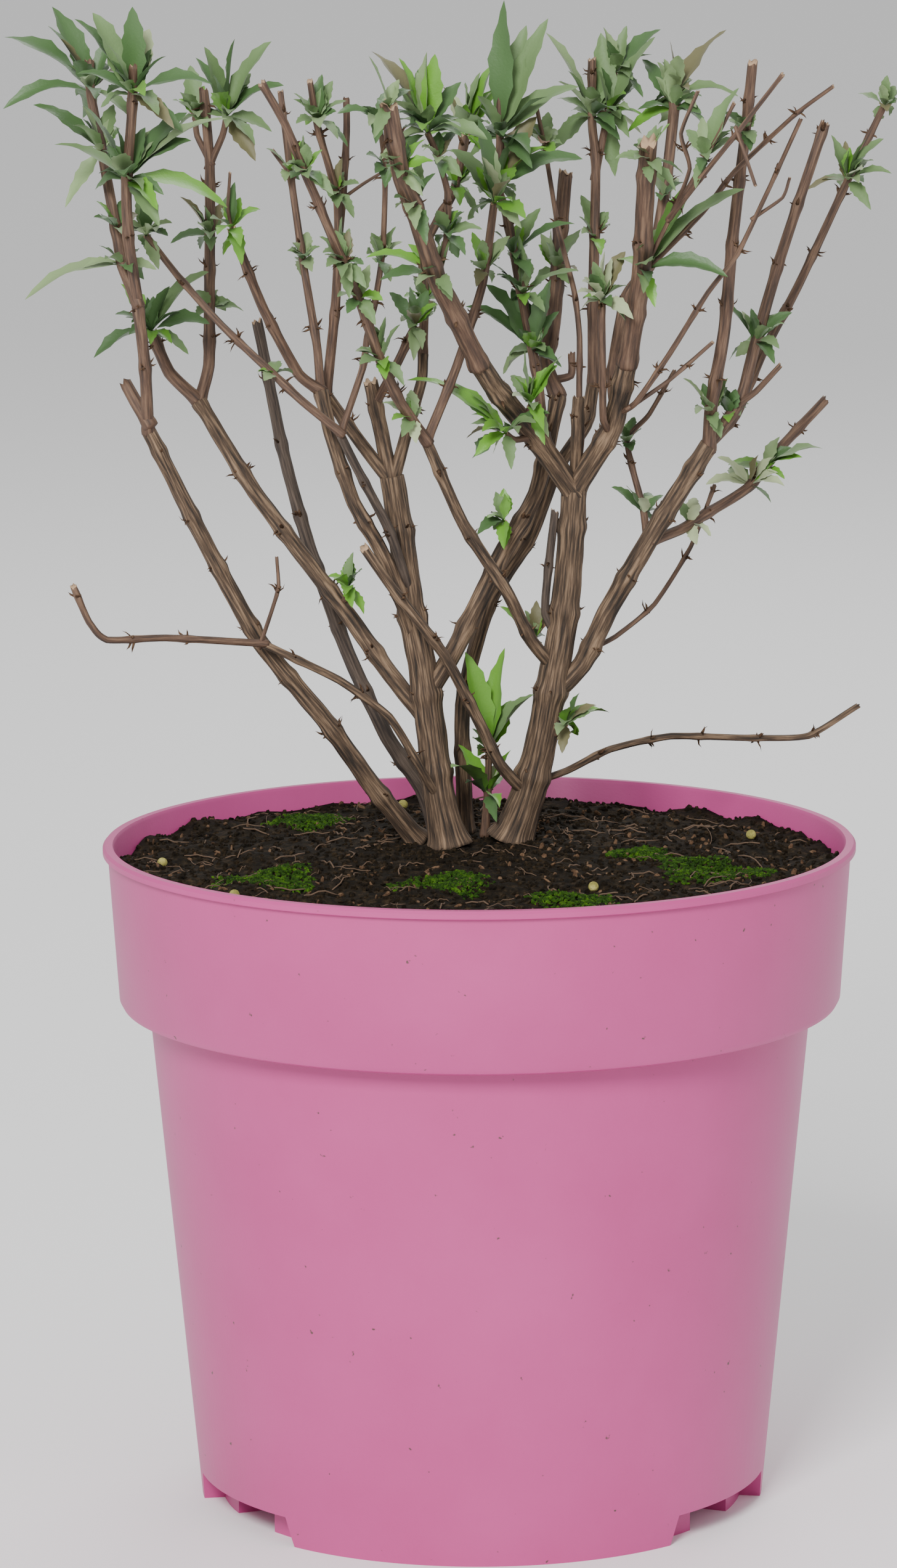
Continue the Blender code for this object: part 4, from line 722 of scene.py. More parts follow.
def keep_largest(mesh: bpy.types.Mesh) -> None:
    """Drops loose scraps and sealed hollows: only the island with the largest volume stays.

    Args:
        mesh: the mesh, changed in place.
    """
    bm = bmesh.new()
    bm.from_mesh(mesh)
    left = set(bm.verts)
    islands = []
    while left:
        front = [left.pop()]
        island = list(front)
        while front:
            here = front.pop()
            near = {edge.other_vert(here) for edge in here.link_edges} & left
            left -= near
            front.extend(near)
            island.extend(near)
        faces = {face for vert in island for face in vert.link_faces}
        size = abs(sum(
            face.normal.dot(face.calc_center_median()) * face.calc_area() for face in faces))
        islands.append((size, island))
    islands.sort(key=lambda pair: pair[0])
    bmesh.ops.delete(bm, geom=[v for _, island in islands[:-1] for v in island], context="VERTS")
    bm.to_mesh(mesh)
    bm.free()


def cut_away(obj: bpy.types.Object, cutters: list) -> None:
    """Cuts shapes from an object, applies the result and removes them.

    Args:
        obj: the object that is cut.
        cutters: closed mesh objects in the scene's own collection.
    """
    group = bpy.data.collections.new("cutters")
    bpy.context.scene.collection.children.link(group)
    for cutter in cutters:
        bpy.context.scene.collection.objects.unlink(cutter)
        group.objects.link(cutter)
    modifier = obj.modifiers.new("cut", "BOOLEAN")
    modifier.operation = "DIFFERENCE"
    modifier.operand_type = "COLLECTION"
    modifier.collection = group
    modifier.solver = "EXACT"
    graph = bpy.context.evaluated_depsgraph_get()
    result = bpy.data.meshes.new_from_object(obj.evaluated_get(graph))
    obj.modifiers.remove(modifier)
    keep_largest(result)
    obj.data = result
    for cutter in cutters:
        bpy.data.objects.remove(cutter)
    bpy.data.collections.remove(group)


def grain_group() -> bpy.types.NodeTree:
    """The shader node group that every finish takes its grain from, built once."""
    group = bpy.data.node_groups.get("grain")
    if group:
        return group
    group = bpy.data.node_groups.new("grain", "ShaderNodeTree")
    sockets = {"Vector": "NodeSocketVector", "Scale": "NodeSocketFloat",
               "Detail": "NodeSocketFloat", "Roughness": "NodeSocketFloat"}
    for name, kind in sockets.items():
        group.interface.new_socket(name, in_out="INPUT", socket_type=kind)
    group.interface.new_socket("Value", in_out="OUTPUT", socket_type="NodeSocketFloat")
    start = group.nodes.new("NodeGroupInput")
    noise = group.nodes.new("ShaderNodeTexNoise")
    end = group.nodes.new("NodeGroupOutput")
    for name in sockets:
        group.links.new(start.outputs[name], noise.inputs[name])
    group.links.new(noise.outputs["Fac"], end.inputs["Value"])
    return group


class ShaderBuild:
    """A material under construction: its nodes, its links and its Principled shader."""

    def __init__(self, name: str, roughness: float) -> None:
        """Starts a node material.

        Args:
            name: the material's name.
            roughness: the shader's roughness.
        """
        self.material = bpy.data.materials.new(name)
        self.material.use_nodes = True
        self.nodes = self.material.node_tree.nodes
        self.links = self.material.node_tree.links
        self.shader = self.nodes["Principled BSDF"]
        self.shader.inputs["Roughness"].default_value = roughness
        self.shader.inputs["Metallic"].default_value = 0.0

    def set(self, **values: float | tuple) -> None:
        """Sets the shader's own inputs, with _ for a space in a socket's name."""
        for key, value in values.items():
            self.shader.inputs[key.replace("_", " ")].default_value = value

    def add(self, kind: str, **values: float | tuple) -> bpy.types.Node:
        """Adds a node.

        Args:
            kind: the node's type.
            values: its inputs' values, with _ for a space in a socket's name.

        Returns:
            The node.
        """
        node = self.nodes.new(kind)
        for key, value in values.items():
            node.inputs[key.replace("_", " ")].default_value = value
        return node

    def coordinates(self, source: str = "Object",
                    scale: tuple = (1.0, 1.0, 1.0)) -> bpy.types.NodeSocket:
        """Texture coordinates.

        Args:
            source: which of the Texture Coordinate node's outputs.
            scale: how they are stretched.

        Returns:
            The output socket that holds them.
        """
        coord = self.nodes.new("ShaderNodeTexCoord")
        mapping = self.add("ShaderNodeMapping", Scale=scale)
        self.links.new(coord.outputs[source], mapping.inputs["Vector"])
        return mapping.outputs["Vector"]

    def grain(self, vector: bpy.types.NodeSocket, scale: float, detail: float,
              rough: float = 0.55) -> bpy.types.NodeSocket:
        """A grain value from the shared group.

        Args:
            vector: the coordinates' socket.
            scale: grains per metre.
            detail: octaves.
            rough: how strong the finer octaves are.

        Returns:
            The output socket that holds the value.
        """
        node = self.nodes.new("ShaderNodeGroup")
        node.node_tree = grain_group()
        for name, value in (("Scale", scale), ("Detail", detail), ("Roughness", rough)):
            node.inputs[name].default_value = value
        self.links.new(vector, node.inputs["Vector"])
        return node.outputs["Value"]

    def ramp(self, value: bpy.types.NodeSocket, stops: tuple) -> bpy.types.NodeSocket:
        """A colour ramp over a value.

        Args:
            value: the value's socket.
            stops: (place, (r, g, b)) pairs.

        Returns:
            The output socket that holds the colour.
        """
        node = self.nodes.new("ShaderNodeValToRGB")
        elements = node.color_ramp.elements
        while len(elements) < len(stops):
            elements.new(0.5)
        for element, (spot, colour) in zip(elements, stops):
            element.position = spot
            element.color = (*colour, 1.0)
        self.links.new(value, node.inputs["Fac"])
        return node.outputs["Color"]

    def bump(self, height: bpy.types.NodeSocket, strength: float, distance: float) -> None:
        """Bumps the shader's surface.

        Args:
            height: the height's socket.
            strength: the bump's strength.
            distance: how high it stands, in metres.
        """
        node = self.add("ShaderNodeBump", Strength=strength, Distance=distance)
        self.links.new(height, node.inputs["Height"])
        self.links.new(node.outputs["Normal"], self.shader.inputs["Normal"])

    def paint(self, colour: bpy.types.NodeSocket) -> None:
        """Feeds the shader's base colour."""
        self.links.new(colour, self.shader.inputs["Base Color"])


@dataclass(frozen=True)
class MouldedPlastic:
    """Pot plastic with a fine moulded grain: faintly mottled, with soil specks."""

    base: tuple = (0.425, 0.044, 0.190)
    light: tuple = (0.470, 0.056, 0.220)
    speck: tuple = (0.09, 0.045, 0.04, 1.0)
    roughness: float = 0.45
    mottle_scale: float = 22.0
    speck_scale: float = 420.0
    speck_from: tuple = (0.735, 0.77)
    grain_scale: float = 1600.0
    mottle_from: tuple = (0.3, 0.7)
    relief: tuple = (0.10, 0.0004)  # the bump's strength and its height in metres

    def make(self) -> bpy.types.Material:
        """The node material."""
        build = ShaderBuild("moulded_plastic", self.roughness)
        spot = build.coordinates()
        tone = build.grain(spot, self.mottle_scale, detail=5.0)
        colour = build.ramp(tone, tuple(zip(self.mottle_from, (self.base, self.light))))
        specks = build.grain(spot, self.speck_scale, detail=2.0)
        clean, full = self.speck_from
        mask = build.ramp(specks, ((clean, (0, 0, 0)), (full, (1, 1, 1))))
        mix = build.nodes.new("ShaderNodeMix")
        mix.data_type = "RGBA"
        build.links.new(mask, mix.inputs["Factor"])
        build.links.new(colour, mix.inputs["A"])
        mix.inputs["B"].default_value = self.speck
        build.paint(mix.outputs["Result"])
        build.bump(build.grain(spot, self.grain_scale, detail=3.0), *self.relief)
        return build.material


@dataclass(frozen=True)
class Earth:
    """A crumbly finish of three tones: peat, chips, moss, pellets and dried buds."""

    name: str
    dark: tuple
    mid: tuple
    pale: tuple
    roughness: float = 0.95
    gloss: float = 0.15
    tone_scale: float = 480.0
    crumb_scale: float = 900.0
    stops: tuple = (0.35, 0.52, 0.74)
    relief: tuple = (0.8, 0.001)

    def make(self) -> bpy.types.Material:
        """The node material."""
        build = ShaderBuild(self.name, self.roughness)
        build.set(Specular_IOR_Level=self.gloss)
        spot = build.coordinates()
        tone = build.grain(spot, self.tone_scale, detail=6.0, rough=0.7)
        build.paint(build.ramp(tone, tuple(zip(self.stops, (self.dark, self.mid, self.pale)))))
        build.bump(build.grain(spot, self.crumb_scale, detail=5.0), *self.relief)
        return build.material


@dataclass(frozen=True)
class Bark:
    """Bark with strips that run along the limb."""

    name: str
    dark: tuple
    mid: tuple
    pale: tuple
    roughness: float = 0.85
    strip_scale: float = 900.0
    stretch: tuple = (1.0, 0.09, 1.0)
    stops: tuple = (0.36, 0.5, 0.66)
    relief: tuple = (0.7, 0.0008)

    def make(self) -> bpy.types.Material:
        """The node material."""
        build = ShaderBuild(self.name, self.roughness)
        along = build.coordinates("UV", self.stretch)
        strips = build.grain(along, self.strip_scale, detail=5.0, rough=0.6)
        build.paint(build.ramp(strips, tuple(zip(self.stops, (self.dark, self.mid, self.pale)))))
        build.bump(strips, *self.relief)
        return build.material


@dataclass(frozen=True)
class Blade:
    """A leaf's plain colour, with a faint felted sheen."""

    name: str
    colour: tuple
    roughness: float = 0.6
    sheen: float = 0.06
    felt_scale: float = 1500.0
    relief: tuple = (0.25, 0.0003)

    def make(self) -> bpy.types.Material:
        """The node material: a plain base colour with a fine felt bump."""
        build = ShaderBuild(self.name, self.roughness)
        build.set(Base_Color=(*self.colour, 1.0), Sheen_Weight=self.sheen)
        felt = build.grain(build.coordinates(), self.felt_scale, detail=2.0)
        build.bump(felt, *self.relief)
        return build.material


class Loose(Enum):
    """The finishes of what lies on the soil, and of the dried buds."""

    SOIL = Earth("potting_soil", (0.003, 0.002, 0.001), (0.011, 0.007, 0.003), (0.050, 0.032, 0.016))
    CHIP = Earth("bark_chip", (0.05, 0.028, 0.016), (0.11, 0.062, 0.034), (0.20, 0.13, 0.08))
    MOSS = Earth("moss", (0.004, 0.012, 0.001), (0.020, 0.055, 0.003), (0.085, 0.19, 0.010))
    PELLET = Earth("feed_pellet", (0.20, 0.18, 0.05), (0.34, 0.31, 0.09), (0.46, 0.42, 0.16))
    BUD = Earth("dried_bud", (0.030, 0.017, 0.010), (0.085, 0.047, 0.027), (0.17, 0.11, 0.065))


class Grown(Enum):
    """The finishes of bark, torn wood and root fibres."""

    OLD = Bark("old_bark", (0.016, 0.010, 0.006), (0.074, 0.045, 0.026), (0.23, 0.15, 0.09))
    DARK = Bark("dark_bark", (0.022, 0.015, 0.012), (0.055, 0.038, 0.028), (0.11, 0.08, 0.06))
    YOUNG = Bark("young_bark", (0.035, 0.019, 0.012), (0.085, 0.045, 0.027), (0.17, 0.10, 0.06), 0.7)
    TORN = Bark("torn_wood", (0.22, 0.13, 0.07), (0.42, 0.28, 0.17), (0.58, 0.42, 0.28))
    FIBRE = Bark("root_fibre", (0.035, 0.020, 0.011), (0.095, 0.056, 0.032), (0.20, 0.13, 0.075))


class Tint(Enum):
    """The leaf colours that are dealt out over the sprays."""

    GREY_GREEN = Blade("leaf_grey_green", (0.120, 0.200, 0.072))
    SAGE = Blade("leaf_sage", (0.190, 0.275, 0.118))
    DEEP = Blade("leaf_deep", (0.055, 0.120, 0.034), 0.5)
    YOUNG = Blade("leaf_young", (0.115, 0.290, 0.026), 0.42)
    OLIVE = Blade("leaf_olive", (0.135, 0.125, 0.055))
    FELT = Blade("leaf_felt", (0.330, 0.390, 0.215), 0.8, 0.2)
    DRY = Blade("leaf_dry", (0.160, 0.085, 0.040), 0.85)


TINT_SHARES = {
    Tint.GREY_GREEN: 34, Tint.SAGE: 18, Tint.DEEP: 22, Tint.YOUNG: 18, Tint.OLIVE: 8,
    Tint.FELT: 3, Tint.DRY: 1,
}


@dataclass
class PottingPot:
    """The moulded pot, turned finer than its solid: sizes in mm, turns in degrees from the front."""

    sides: int = 160
    lip_radius: float = LIP_RADIUS
    lip_top: float = 168.6
    lip_drop: float = 2.4
    lip_inset: float = 1.3
    lip_under: float = 0.5
    lip_outer_bevel: tuple = (0.6, 0.7)
    lip_inner_bevel: tuple = (0.5, 0.8)
    collar_top_radius: float = 93.7
    collar_foot_radius: float = 91.1
    collar_foot: float = 127.5
    collar_round: float = 2.0
    round_share: float = 0.3
    shoulder_rise: float = 0.4
    body_top_radius: float = 83.8
    foot_radius: float = 71.8
    wall: float = 1.7
    floor_under: float = 9.0
    floor_top: float = 11.4
    floor_bevel: float = 3.0
    ring_outer: float = 66.5
    ring_inner: float = 50.0
    hub_radius: float = 12.0
    notch_height: float = 7.4
    notch_turn: tuple = (42.5, 79.0)
    notch_slant: float = 2.5
    channel_turn: tuple = (51.5, 68.0)
    channel_past: float = 5.0
    cut_past: float = 8.0
    cut_under: float = 2.0
    cut_steps: int = 12
    drain_radius: float = 4.0
    drain_ring: float = 31.0
    drain_past: float = 4.0
    drain_sides: int = 36
    sharp_from: float = 32.0

    def body_radius(self, height: float) -> float:
        """Outer radius of the tapering body at a height."""
        return self.foot_radius + (self.body_top_radius - self.foot_radius) * height / self.collar_foot

    def collar_radius(self, height: float) -> float:
        """Outer radius of the collar at a height."""
        share = (height - self.collar_foot) / (self.lip_top - self.lip_drop - self.collar_foot)
        return self.collar_foot_radius + (self.collar_top_radius - self.collar_foot_radius) * share

    def inside(self, height: float) -> float:
        """Inner radius at a height."""
        in_collar = height > self.collar_foot + self.wall
        return (self.collar_radius(height) if in_collar else self.body_radius(height)) - self.wall

    def profile(self) -> tuple:
        """The outside and inside, the floor's rim and the underside, as (radius, height) rows."""
        shoulder = self.collar_foot + self.wall
        inner_lip = self.lip_radius - self.lip_inset - self.wall
        curve = self.round_share * self.collar_round
        wall = [
            (self.foot_radius, 0.0),
            (self.body_radius(self.collar_foot), self.collar_foot),
            (self.collar_foot_radius - self.collar_round, self.collar_foot),
            (self.collar_foot_radius - curve, self.collar_foot + curve),
            (self.collar_radius(self.collar_foot + self.collar_round),
             self.collar_foot + self.collar_round),
            (self.collar_top_radius, self.lip_top - self.lip_drop),
            (self.lip_radius, self.lip_top - self.lip_drop + self.lip_under),
            (self.lip_radius, self.lip_top - self.lip_outer_bevel[1]),
            (self.lip_radius - self.lip_outer_bevel[0], self.lip_top),
            (inner_lip + self.lip_inner_bevel[0], self.lip_top),
            (inner_lip, self.lip_top - self.lip_inner_bevel[1]),
            (self.inside(shoulder + 0.01), shoulder + self.shoulder_rise),
            (self.body_radius(self.collar_foot) - self.wall, shoulder),
            (self.inside(self.floor_top + self.floor_bevel), self.floor_top + self.floor_bevel),
        ]
        floor_rim = (self.inside(self.floor_top) - self.floor_bevel, self.floor_top)
        underside = [
            (self.ring_inner, 0.0), (self.ring_inner, self.floor_under),
            (self.hub_radius, self.floor_under), (self.hub_radius, 0.0)]
        return wall, floor_rim, underside

    def shell(self) -> bmesh.types.BMesh:
        """The wall and floor as one closed lathe: outside, inside, floor top and underside."""
        wall, floor_rim, underside = self.profile()
        bm = bmesh.new()
        rings = []
        for radius, height in (*reversed(underside), *wall, floor_rim):
            turns = (2 * math.pi * i / self.sides for i in range(self.sides))
            rings.append([
                bm.verts.new((radius * math.sin(t) * MM, -radius * math.cos(t) * MM, height * MM))
                for t in turns
            ])
        foot = bm.verts.new((0, 0, 0))
        floor = bm.verts.new((0, 0, self.floor_top * MM))
        for i in range(self.sides):
            j = (i + 1) % self.sides
            bm.faces.new((foot, rings[0][j], rings[0][i]))
            bm.faces.new((floor, rings[-1][i], rings[-1][j]))
            for lower, upper in zip(rings, rings[1:]):
                bm.faces.new((lower[i], lower[j], upper[j], upper[i]))
        bmesh.ops.recalc_face_normals(bm, faces=bm.faces)
        return bm

    def sector(self, inner: float, turns: tuple, slant: float) -> bmesh.types.BMesh:
        """A ring sector that cuts the foot from below, past its outside.

        Args:
            inner: its inner radius.
            turns: where it starts and ends.
            slant: how much wider it is at its lower edge, to each side.

        Returns:
            The closed shape.
        """
        bm = bmesh.new()
        start, end = turns
        outer = self.foot_radius + self.cut_past
        sections = []
        for step in range(self.cut_steps + 1):
            share = step / self.cut_steps
            section = []
            for radius, height, spread in (
                    (inner, -self.cut_under, slant), (outer, -self.cut_under, slant),
                    (outer, self.notch_height, 0.0), (inner, self.notch_height, 0.0)):
                turn = math.radians(start - spread + (end - start + 2 * spread) * share)
                section.append(bm.verts.new(
                    (radius * math.sin(turn) * MM, -radius * math.cos(turn) * MM, height * MM)))
            sections.append(section)
        bm.faces.new(sections[0])
        bm.faces.new(sections[-1])
        for near, far in zip(sections, sections[1:]):
            for i in range(4):
                j = (i + 1) % 4
                bm.faces.new((near[i], near[j], far[j], far[i]))
        bmesh.ops.recalc_face_normals(bm, faces=bm.faces)
        return bm

    def drain(self, turn: float) -> bmesh.types.BMesh:
        """A round cutter through the floor.

        Args:
            turn: where it stands round the axis, in radians.

        Returns:
            The closed shape.
        """
        hole = bmesh.new()
        depth = self.floor_top - self.floor_under + self.drain_past
        bmesh.ops.create_cone(
            hole, cap_ends=True, segments=self.drain_sides, radius1=self.drain_radius * MM,
            radius2=self.drain_radius * MM, depth=depth * MM)
        spot = Vector((math.sin(turn), math.cos(turn), 0)) * self.drain_ring
        spot.z = (self.floor_top + self.floor_under) / 2
        bmesh.ops.translate(hole, verts=hole.verts, vec=spot * MM)
        return hole

    def cutters(self) -> list:
        """Cutters for the foot's notches and channels, mirrored to four quarters, and the drains."""
        shapes = []
        for mirror in (1, -1):
            for flip in (False, True):
                for low, high, inner, slant in (
                        (*self.notch_turn, self.ring_outer, self.notch_slant),
                        (*self.channel_turn, self.ring_inner - self.channel_past, 0.0)):
                    start, end = (180.0 - high, 180.0 - low) if flip else (low, high)
                    turns = tuple(sorted((mirror * start, mirror * end)))
                    shapes.append(self.sector(inner, turns, slant))
        for quarter in range(4):
            shapes.append(self.drain(math.radians(45.0 + 90.0 * quarter)))
        return [finished_piece("foot_cut", shape, [], smooth=False) for shape in shapes]

    def build(self) -> bpy.types.Object:
        """The pot's wall, floor and notched foot."""
        pot = finished_piece("pot_shell", self.shell(), [], smooth=False)
        cut_away(pot, self.cutters())
        pot.data.materials.clear()
        pot.data.materials.append(MouldedPlastic().make())
        pot.data.shade_smooth()
        pot.data.set_sharp_from_angle(angle=math.radians(self.sharp_from))
        return pot

    def dress(self) -> None:
        """Builds the piece and puts it in place of its solid."""
        dress(self.build(), "pot_plastic", "pot")


@dataclass
class Scatter:
    """Small lumps scattered over a mesh by a geometry node tree, sizes in mm."""

    name: str
    density: float
    low: tuple
    high: tuple
    seed: int
    detail: int = 1

    def tree(self) -> bpy.types.NodeTree:
        """The node tree: random points, lumps of random size and turn, realized, with material."""
        tree = bpy.data.node_groups.new(self.name, "GeometryNodeTree")
        sockets = {"Geometry": "Geometry", "Density": "Float", "Seed": "Int",
                   "Low Size": "Vector", "High Size": "Vector", "Material": "Material"}
        for name, kind in sockets.items():
            tree.interface.new_socket(name, in_out="INPUT", socket_type="NodeSocket" + kind)
        tree.interface.new_socket("Geometry", in_out="OUTPUT", socket_type="NodeSocketGeometry")
        start = tree.nodes.new("NodeGroupInput")
        end = tree.nodes.new("NodeGroupOutput")
        points = tree.nodes.new("GeometryNodeDistributePointsOnFaces")
        lump = tree.nodes.new("GeometryNodeMeshIcoSphere")
        lump.inputs["Radius"].default_value = 1.0
        lump.inputs["Subdivisions"].default_value = self.detail
        turn = tree.nodes.new("FunctionNodeRandomValue")
        turn.data_type = "FLOAT_VECTOR"
        turn.inputs[1].default_value = (math.tau, math.tau, math.tau)
        size = tree.nodes.new("FunctionNodeRandomValue")
        size.data_type = "FLOAT_VECTOR"
        spread = tree.nodes.new("GeometryNodeInstanceOnPoints")
        real = tree.nodes.new("GeometryNodeRealizeInstances")
        paint = tree.nodes.new("GeometryNodeSetMaterial")
        for source, output, target, name in (
                (start, "Geometry", points, "Mesh"), (start, "Density", points, "Density"),
                (start, "Seed", points, "Seed"), (start, "Seed", size, "Seed"),
                (start, "Low Size", size, 0), (start, "High Size", size, 1),
                (points, "Points", spread, "Points"), (lump, "Mesh", spread, "Instance"),
                (turn, 0, spread, "Rotation"), (size, 0, spread, "Scale"),
                (spread, "Instances", real, "Geometry"), (real, "Geometry", paint, "Geometry"),
                (start, "Material", paint, "Material"), (paint, "Geometry", end, "Geometry")):
            tree.links.new(source.outputs[output], target.inputs[name])
        return tree

    def over(self, bm: bmesh.types.BMesh, material: bpy.types.Material) -> bpy.types.Object:
        """The lumps over a surface, as a plain mesh.

        Args:
            bm: the surface that carries them.
            material: the lumps' finish.

        Returns:
            The finished object.
        """
        obj = finished_piece(self.name, bm, [])
        modifier = obj.modifiers.new("scatter", "NODES")
        modifier.node_group = self.tree()
        values = {
            "Density": self.density, "Seed": self.seed, "Low Size": [size * MM for size in self.low],
            "High Size": [size * MM for size in self.high], "Material": material}
        for item in modifier.node_group.interface.items_tree:
            if item.in_out == "INPUT" and item.name in values:
                modifier[item.identifier] = values[item.name]
        graph = bpy.context.evaluated_depsgraph_get()
        mesh = bpy.data.meshes.new_from_object(obj.evaluated_get(graph))
        obj.modifiers.remove(modifier)
        obj.data = mesh
        return obj


@dataclass
class SoilBed:
    """The soil: a lumpy bed, crumbs, root fibres, moss and slow-release feed pellets, in mm."""

    pot: PottingPot
    rings: int = 60
    sides: int = 200
    crown_radius: float = 40.0
    crown_back: float = 12.0
    slope: float = 38.0
    edge: float = 162.6
    front_rise: float = 2.4
    relief: float = 1.1
    low: float = 150.0
    low_share: float = 0.99
    patch_rings: int = 4
    patch_sides: int = 20
    moss_spots: tuple = (
        (58, -20, 15), (42, -4, 9), (-44, 50, 12), (-52, -30, 13), (24, -62, 11), (-8, -40, 12))
    moss_rise: float = 0.8
    pellet_spots: tuple = ((-80, -2), (-60, -50), (28, -46), (-20, 68), (70, 30))
    pellet_radius: float = 1.3
    pellet_rise: float = 1.0
    fibre_count: int = 230
    fibre_steps: int = 5
    fibre_sides: int = 5
    fibre_length: tuple = (3, 11)
    fibre_radius: tuple = (0.08, 0.22)
    fibre_bend: float = 1.4
    fibre_reach: tuple = (84, 88)
    fibre_lift: tuple = (0.35, 0.9)

    def ground(self, x: float, y: float) -> float:
        """Height of the solid's ground: a flat crown round the stems, falling to the wall in lumps.

        Args:
            x: the place across.
            y: the place in depth.

        Returns:
            The height.
        """
        away = math.hypot(x, y - self.crown_back) - self.crown_radius
        if away <= 0:
            return SOIL_CROWN
        ease = min(away / self.slope, 1.0)
        lumps = math.sin(x * 0.21 + 1.3) * math.cos(y * 0.17 + 0.4) + 0.6 * math.sin(x * 0.09 - y * 0.31)
        front = max(0.0, -y) / LIP_RADIUS
        edge = self.edge + self.front_rise * front
        return SOIL_CROWN + (edge - SOIL_CROWN) * ease + self.relief * lumps * min(ease * 2.0, 1.0)

    def height(self, x: float, y: float) -> float:
        """The ground with two kinds of finer lumps on it.

        Args:
            x: the place across.
            y: the place in depth.

        Returns:
            The height.
        """
        fine = math.sin(x * 1.1 + math.sin(y * 0.9)) * math.cos(y * 1.3 + math.sin(x * 0.7))
        finer = math.sin(x * 2.7 + y * 1.9) * math.cos(y * 3.1 - x * 0.8)
        return self.ground(x, y) + 0.32 * fine + 0.16 * finer

    def patch(self, x: float, y: float, radius: float) -> bmesh.types.BMesh:
        """A low wavy-edged mound of moss on the ground.

        Args:
            x: its middle's place across.
            y: its middle's place in depth.
            radius: its mean radius.

        Returns:
            The open surface.
        """
        bm = bmesh.new()
        sides = self.patch_sides
        rings = []
        for ring in range(1, self.patch_rings + 1):
            away = radius * ring / self.patch_rings
            points = []
            for i in range(sides):
                turn = math.tau * i / sides
                broad, small = math.sin(3 * turn + x), math.sin(7 * turn + y)
                reach = away * (1.0 + 0.2 * broad + 0.12 * small)
                px, py = x + reach * math.cos(turn), y + reach * math.sin(turn)
                lift = self.moss_rise * (1 - (ring / self.patch_rings) ** 2)
                points.append(bm.verts.new((px * MM, py * MM, (self.ground(px, py) + lift) * MM)))
            rings.append(points)
        middle = bm.verts.new((x * MM, y * MM, (self.ground(x, y) + self.moss_rise) * MM))
        for i in range(sides):
            j = (i + 1) % sides
            bm.faces.new((middle, rings[0][i], rings[0][j]))
            for lower, upper in zip(rings, rings[1:]):
                bm.faces.new((lower[i], upper[i], upper[j], lower[j]))
        return bm

    def surface(self, closed: bool) -> bmesh.types.BMesh:
        """The bed's top.

        Args:
            closed: whether its side and underside come too.

        Returns:
            The surface.
        """
        bm = bmesh.new()
        rim = self.pot.inside(SOIL_CROWN) - 2 * CLEAR
        rings = []
        for i in range(1, self.rings + 1):
            radius = rim * i / self.rings
            ring = []
            for j in range(self.sides):
                turn = math.tau * j / self.sides
                x, y = radius * math.cos(turn), radius * math.sin(turn)
                ring.append(bm.verts.new((x * MM, y * MM, self.height(x, y) * MM)))
            rings.append(ring)
        if closed:
            low = []
            for vert in rings[-1]:
                low.append(bm.verts.new(
                    (vert.co.x * self.low_share, vert.co.y * self.low_share, self.low * MM)))
            rings.append(low)
            bm.faces.new(list(reversed(low)))
        top = bm.verts.new((0, 0, self.height(0, 0) * MM))
        for i in range(self.sides):
            j = (i + 1) % self.sides
            bm.faces.new((top, rings[0][i], rings[0][j]))
            for inner, outer in zip(rings, rings[1:]):
                bm.faces.new((inner[i], outer[i], outer[j], inner[j]))
        bmesh.ops.recalc_face_normals(bm, faces=bm.faces)
        return bm

    def fibres(self) -> bpy.types.Object:
        """Short tan root fibres that lie on the soil."""
        rng = random.Random(FIBRE_SEED)
        bm = bmesh.new()
        start_reach, end_reach = self.fibre_reach
        low_lift, more_lift = self.fibre_lift
        for _ in range(self.fibre_count):
            away = start_reach * math.sqrt(rng.random())
            turn = rng.uniform(0, math.tau)
            x, y = away * math.cos(turn), away * math.sin(turn)
            heading = rng.uniform(0, math.tau)
            length = rng.uniform(*self.fibre_length)
            radius = rng.uniform(*self.fibre_radius)
            bend = rng.uniform(-self.fibre_bend, self.fibre_bend)
            path = []
            for step in range(self.fibre_steps + 1):
                share = step / self.fibre_steps
                way = heading + bend * share
                x += math.cos(way) * length / self.fibre_steps
                y += math.sin(way) * length / self.fibre_steps
                lift = low_lift + more_lift * math.sin(math.pi * share) * rng.random()
                if math.hypot(x, y) > end_reach:
                    break
                path.append(Vector((x, y, self.height(x, y) + lift)))
            if len(path) > 2:
                sweep(bm, path, [radius] * len(path), self.fibre_sides)
        return finished_piece("soil_fibres", bm, [Grown.FIBRE.value.make()])

    def pellets(self) -> bpy.types.Object:
        """Round feed pellets that lie on the soil."""
        bm = bmesh.new()
        for x, y in self.pellet_spots:
            ball = bmesh.ops.create_icosphere(bm, subdivisions=3, radius=self.pellet_radius * MM)
            spot = Vector((x, y, self.height(x, y) + self.pellet_rise)) * MM
            bmesh.ops.translate(bm, verts=ball["verts"], vec=spot)
        return finished_piece("feed_pellets", bm, [Loose.PELLET.value.make()])

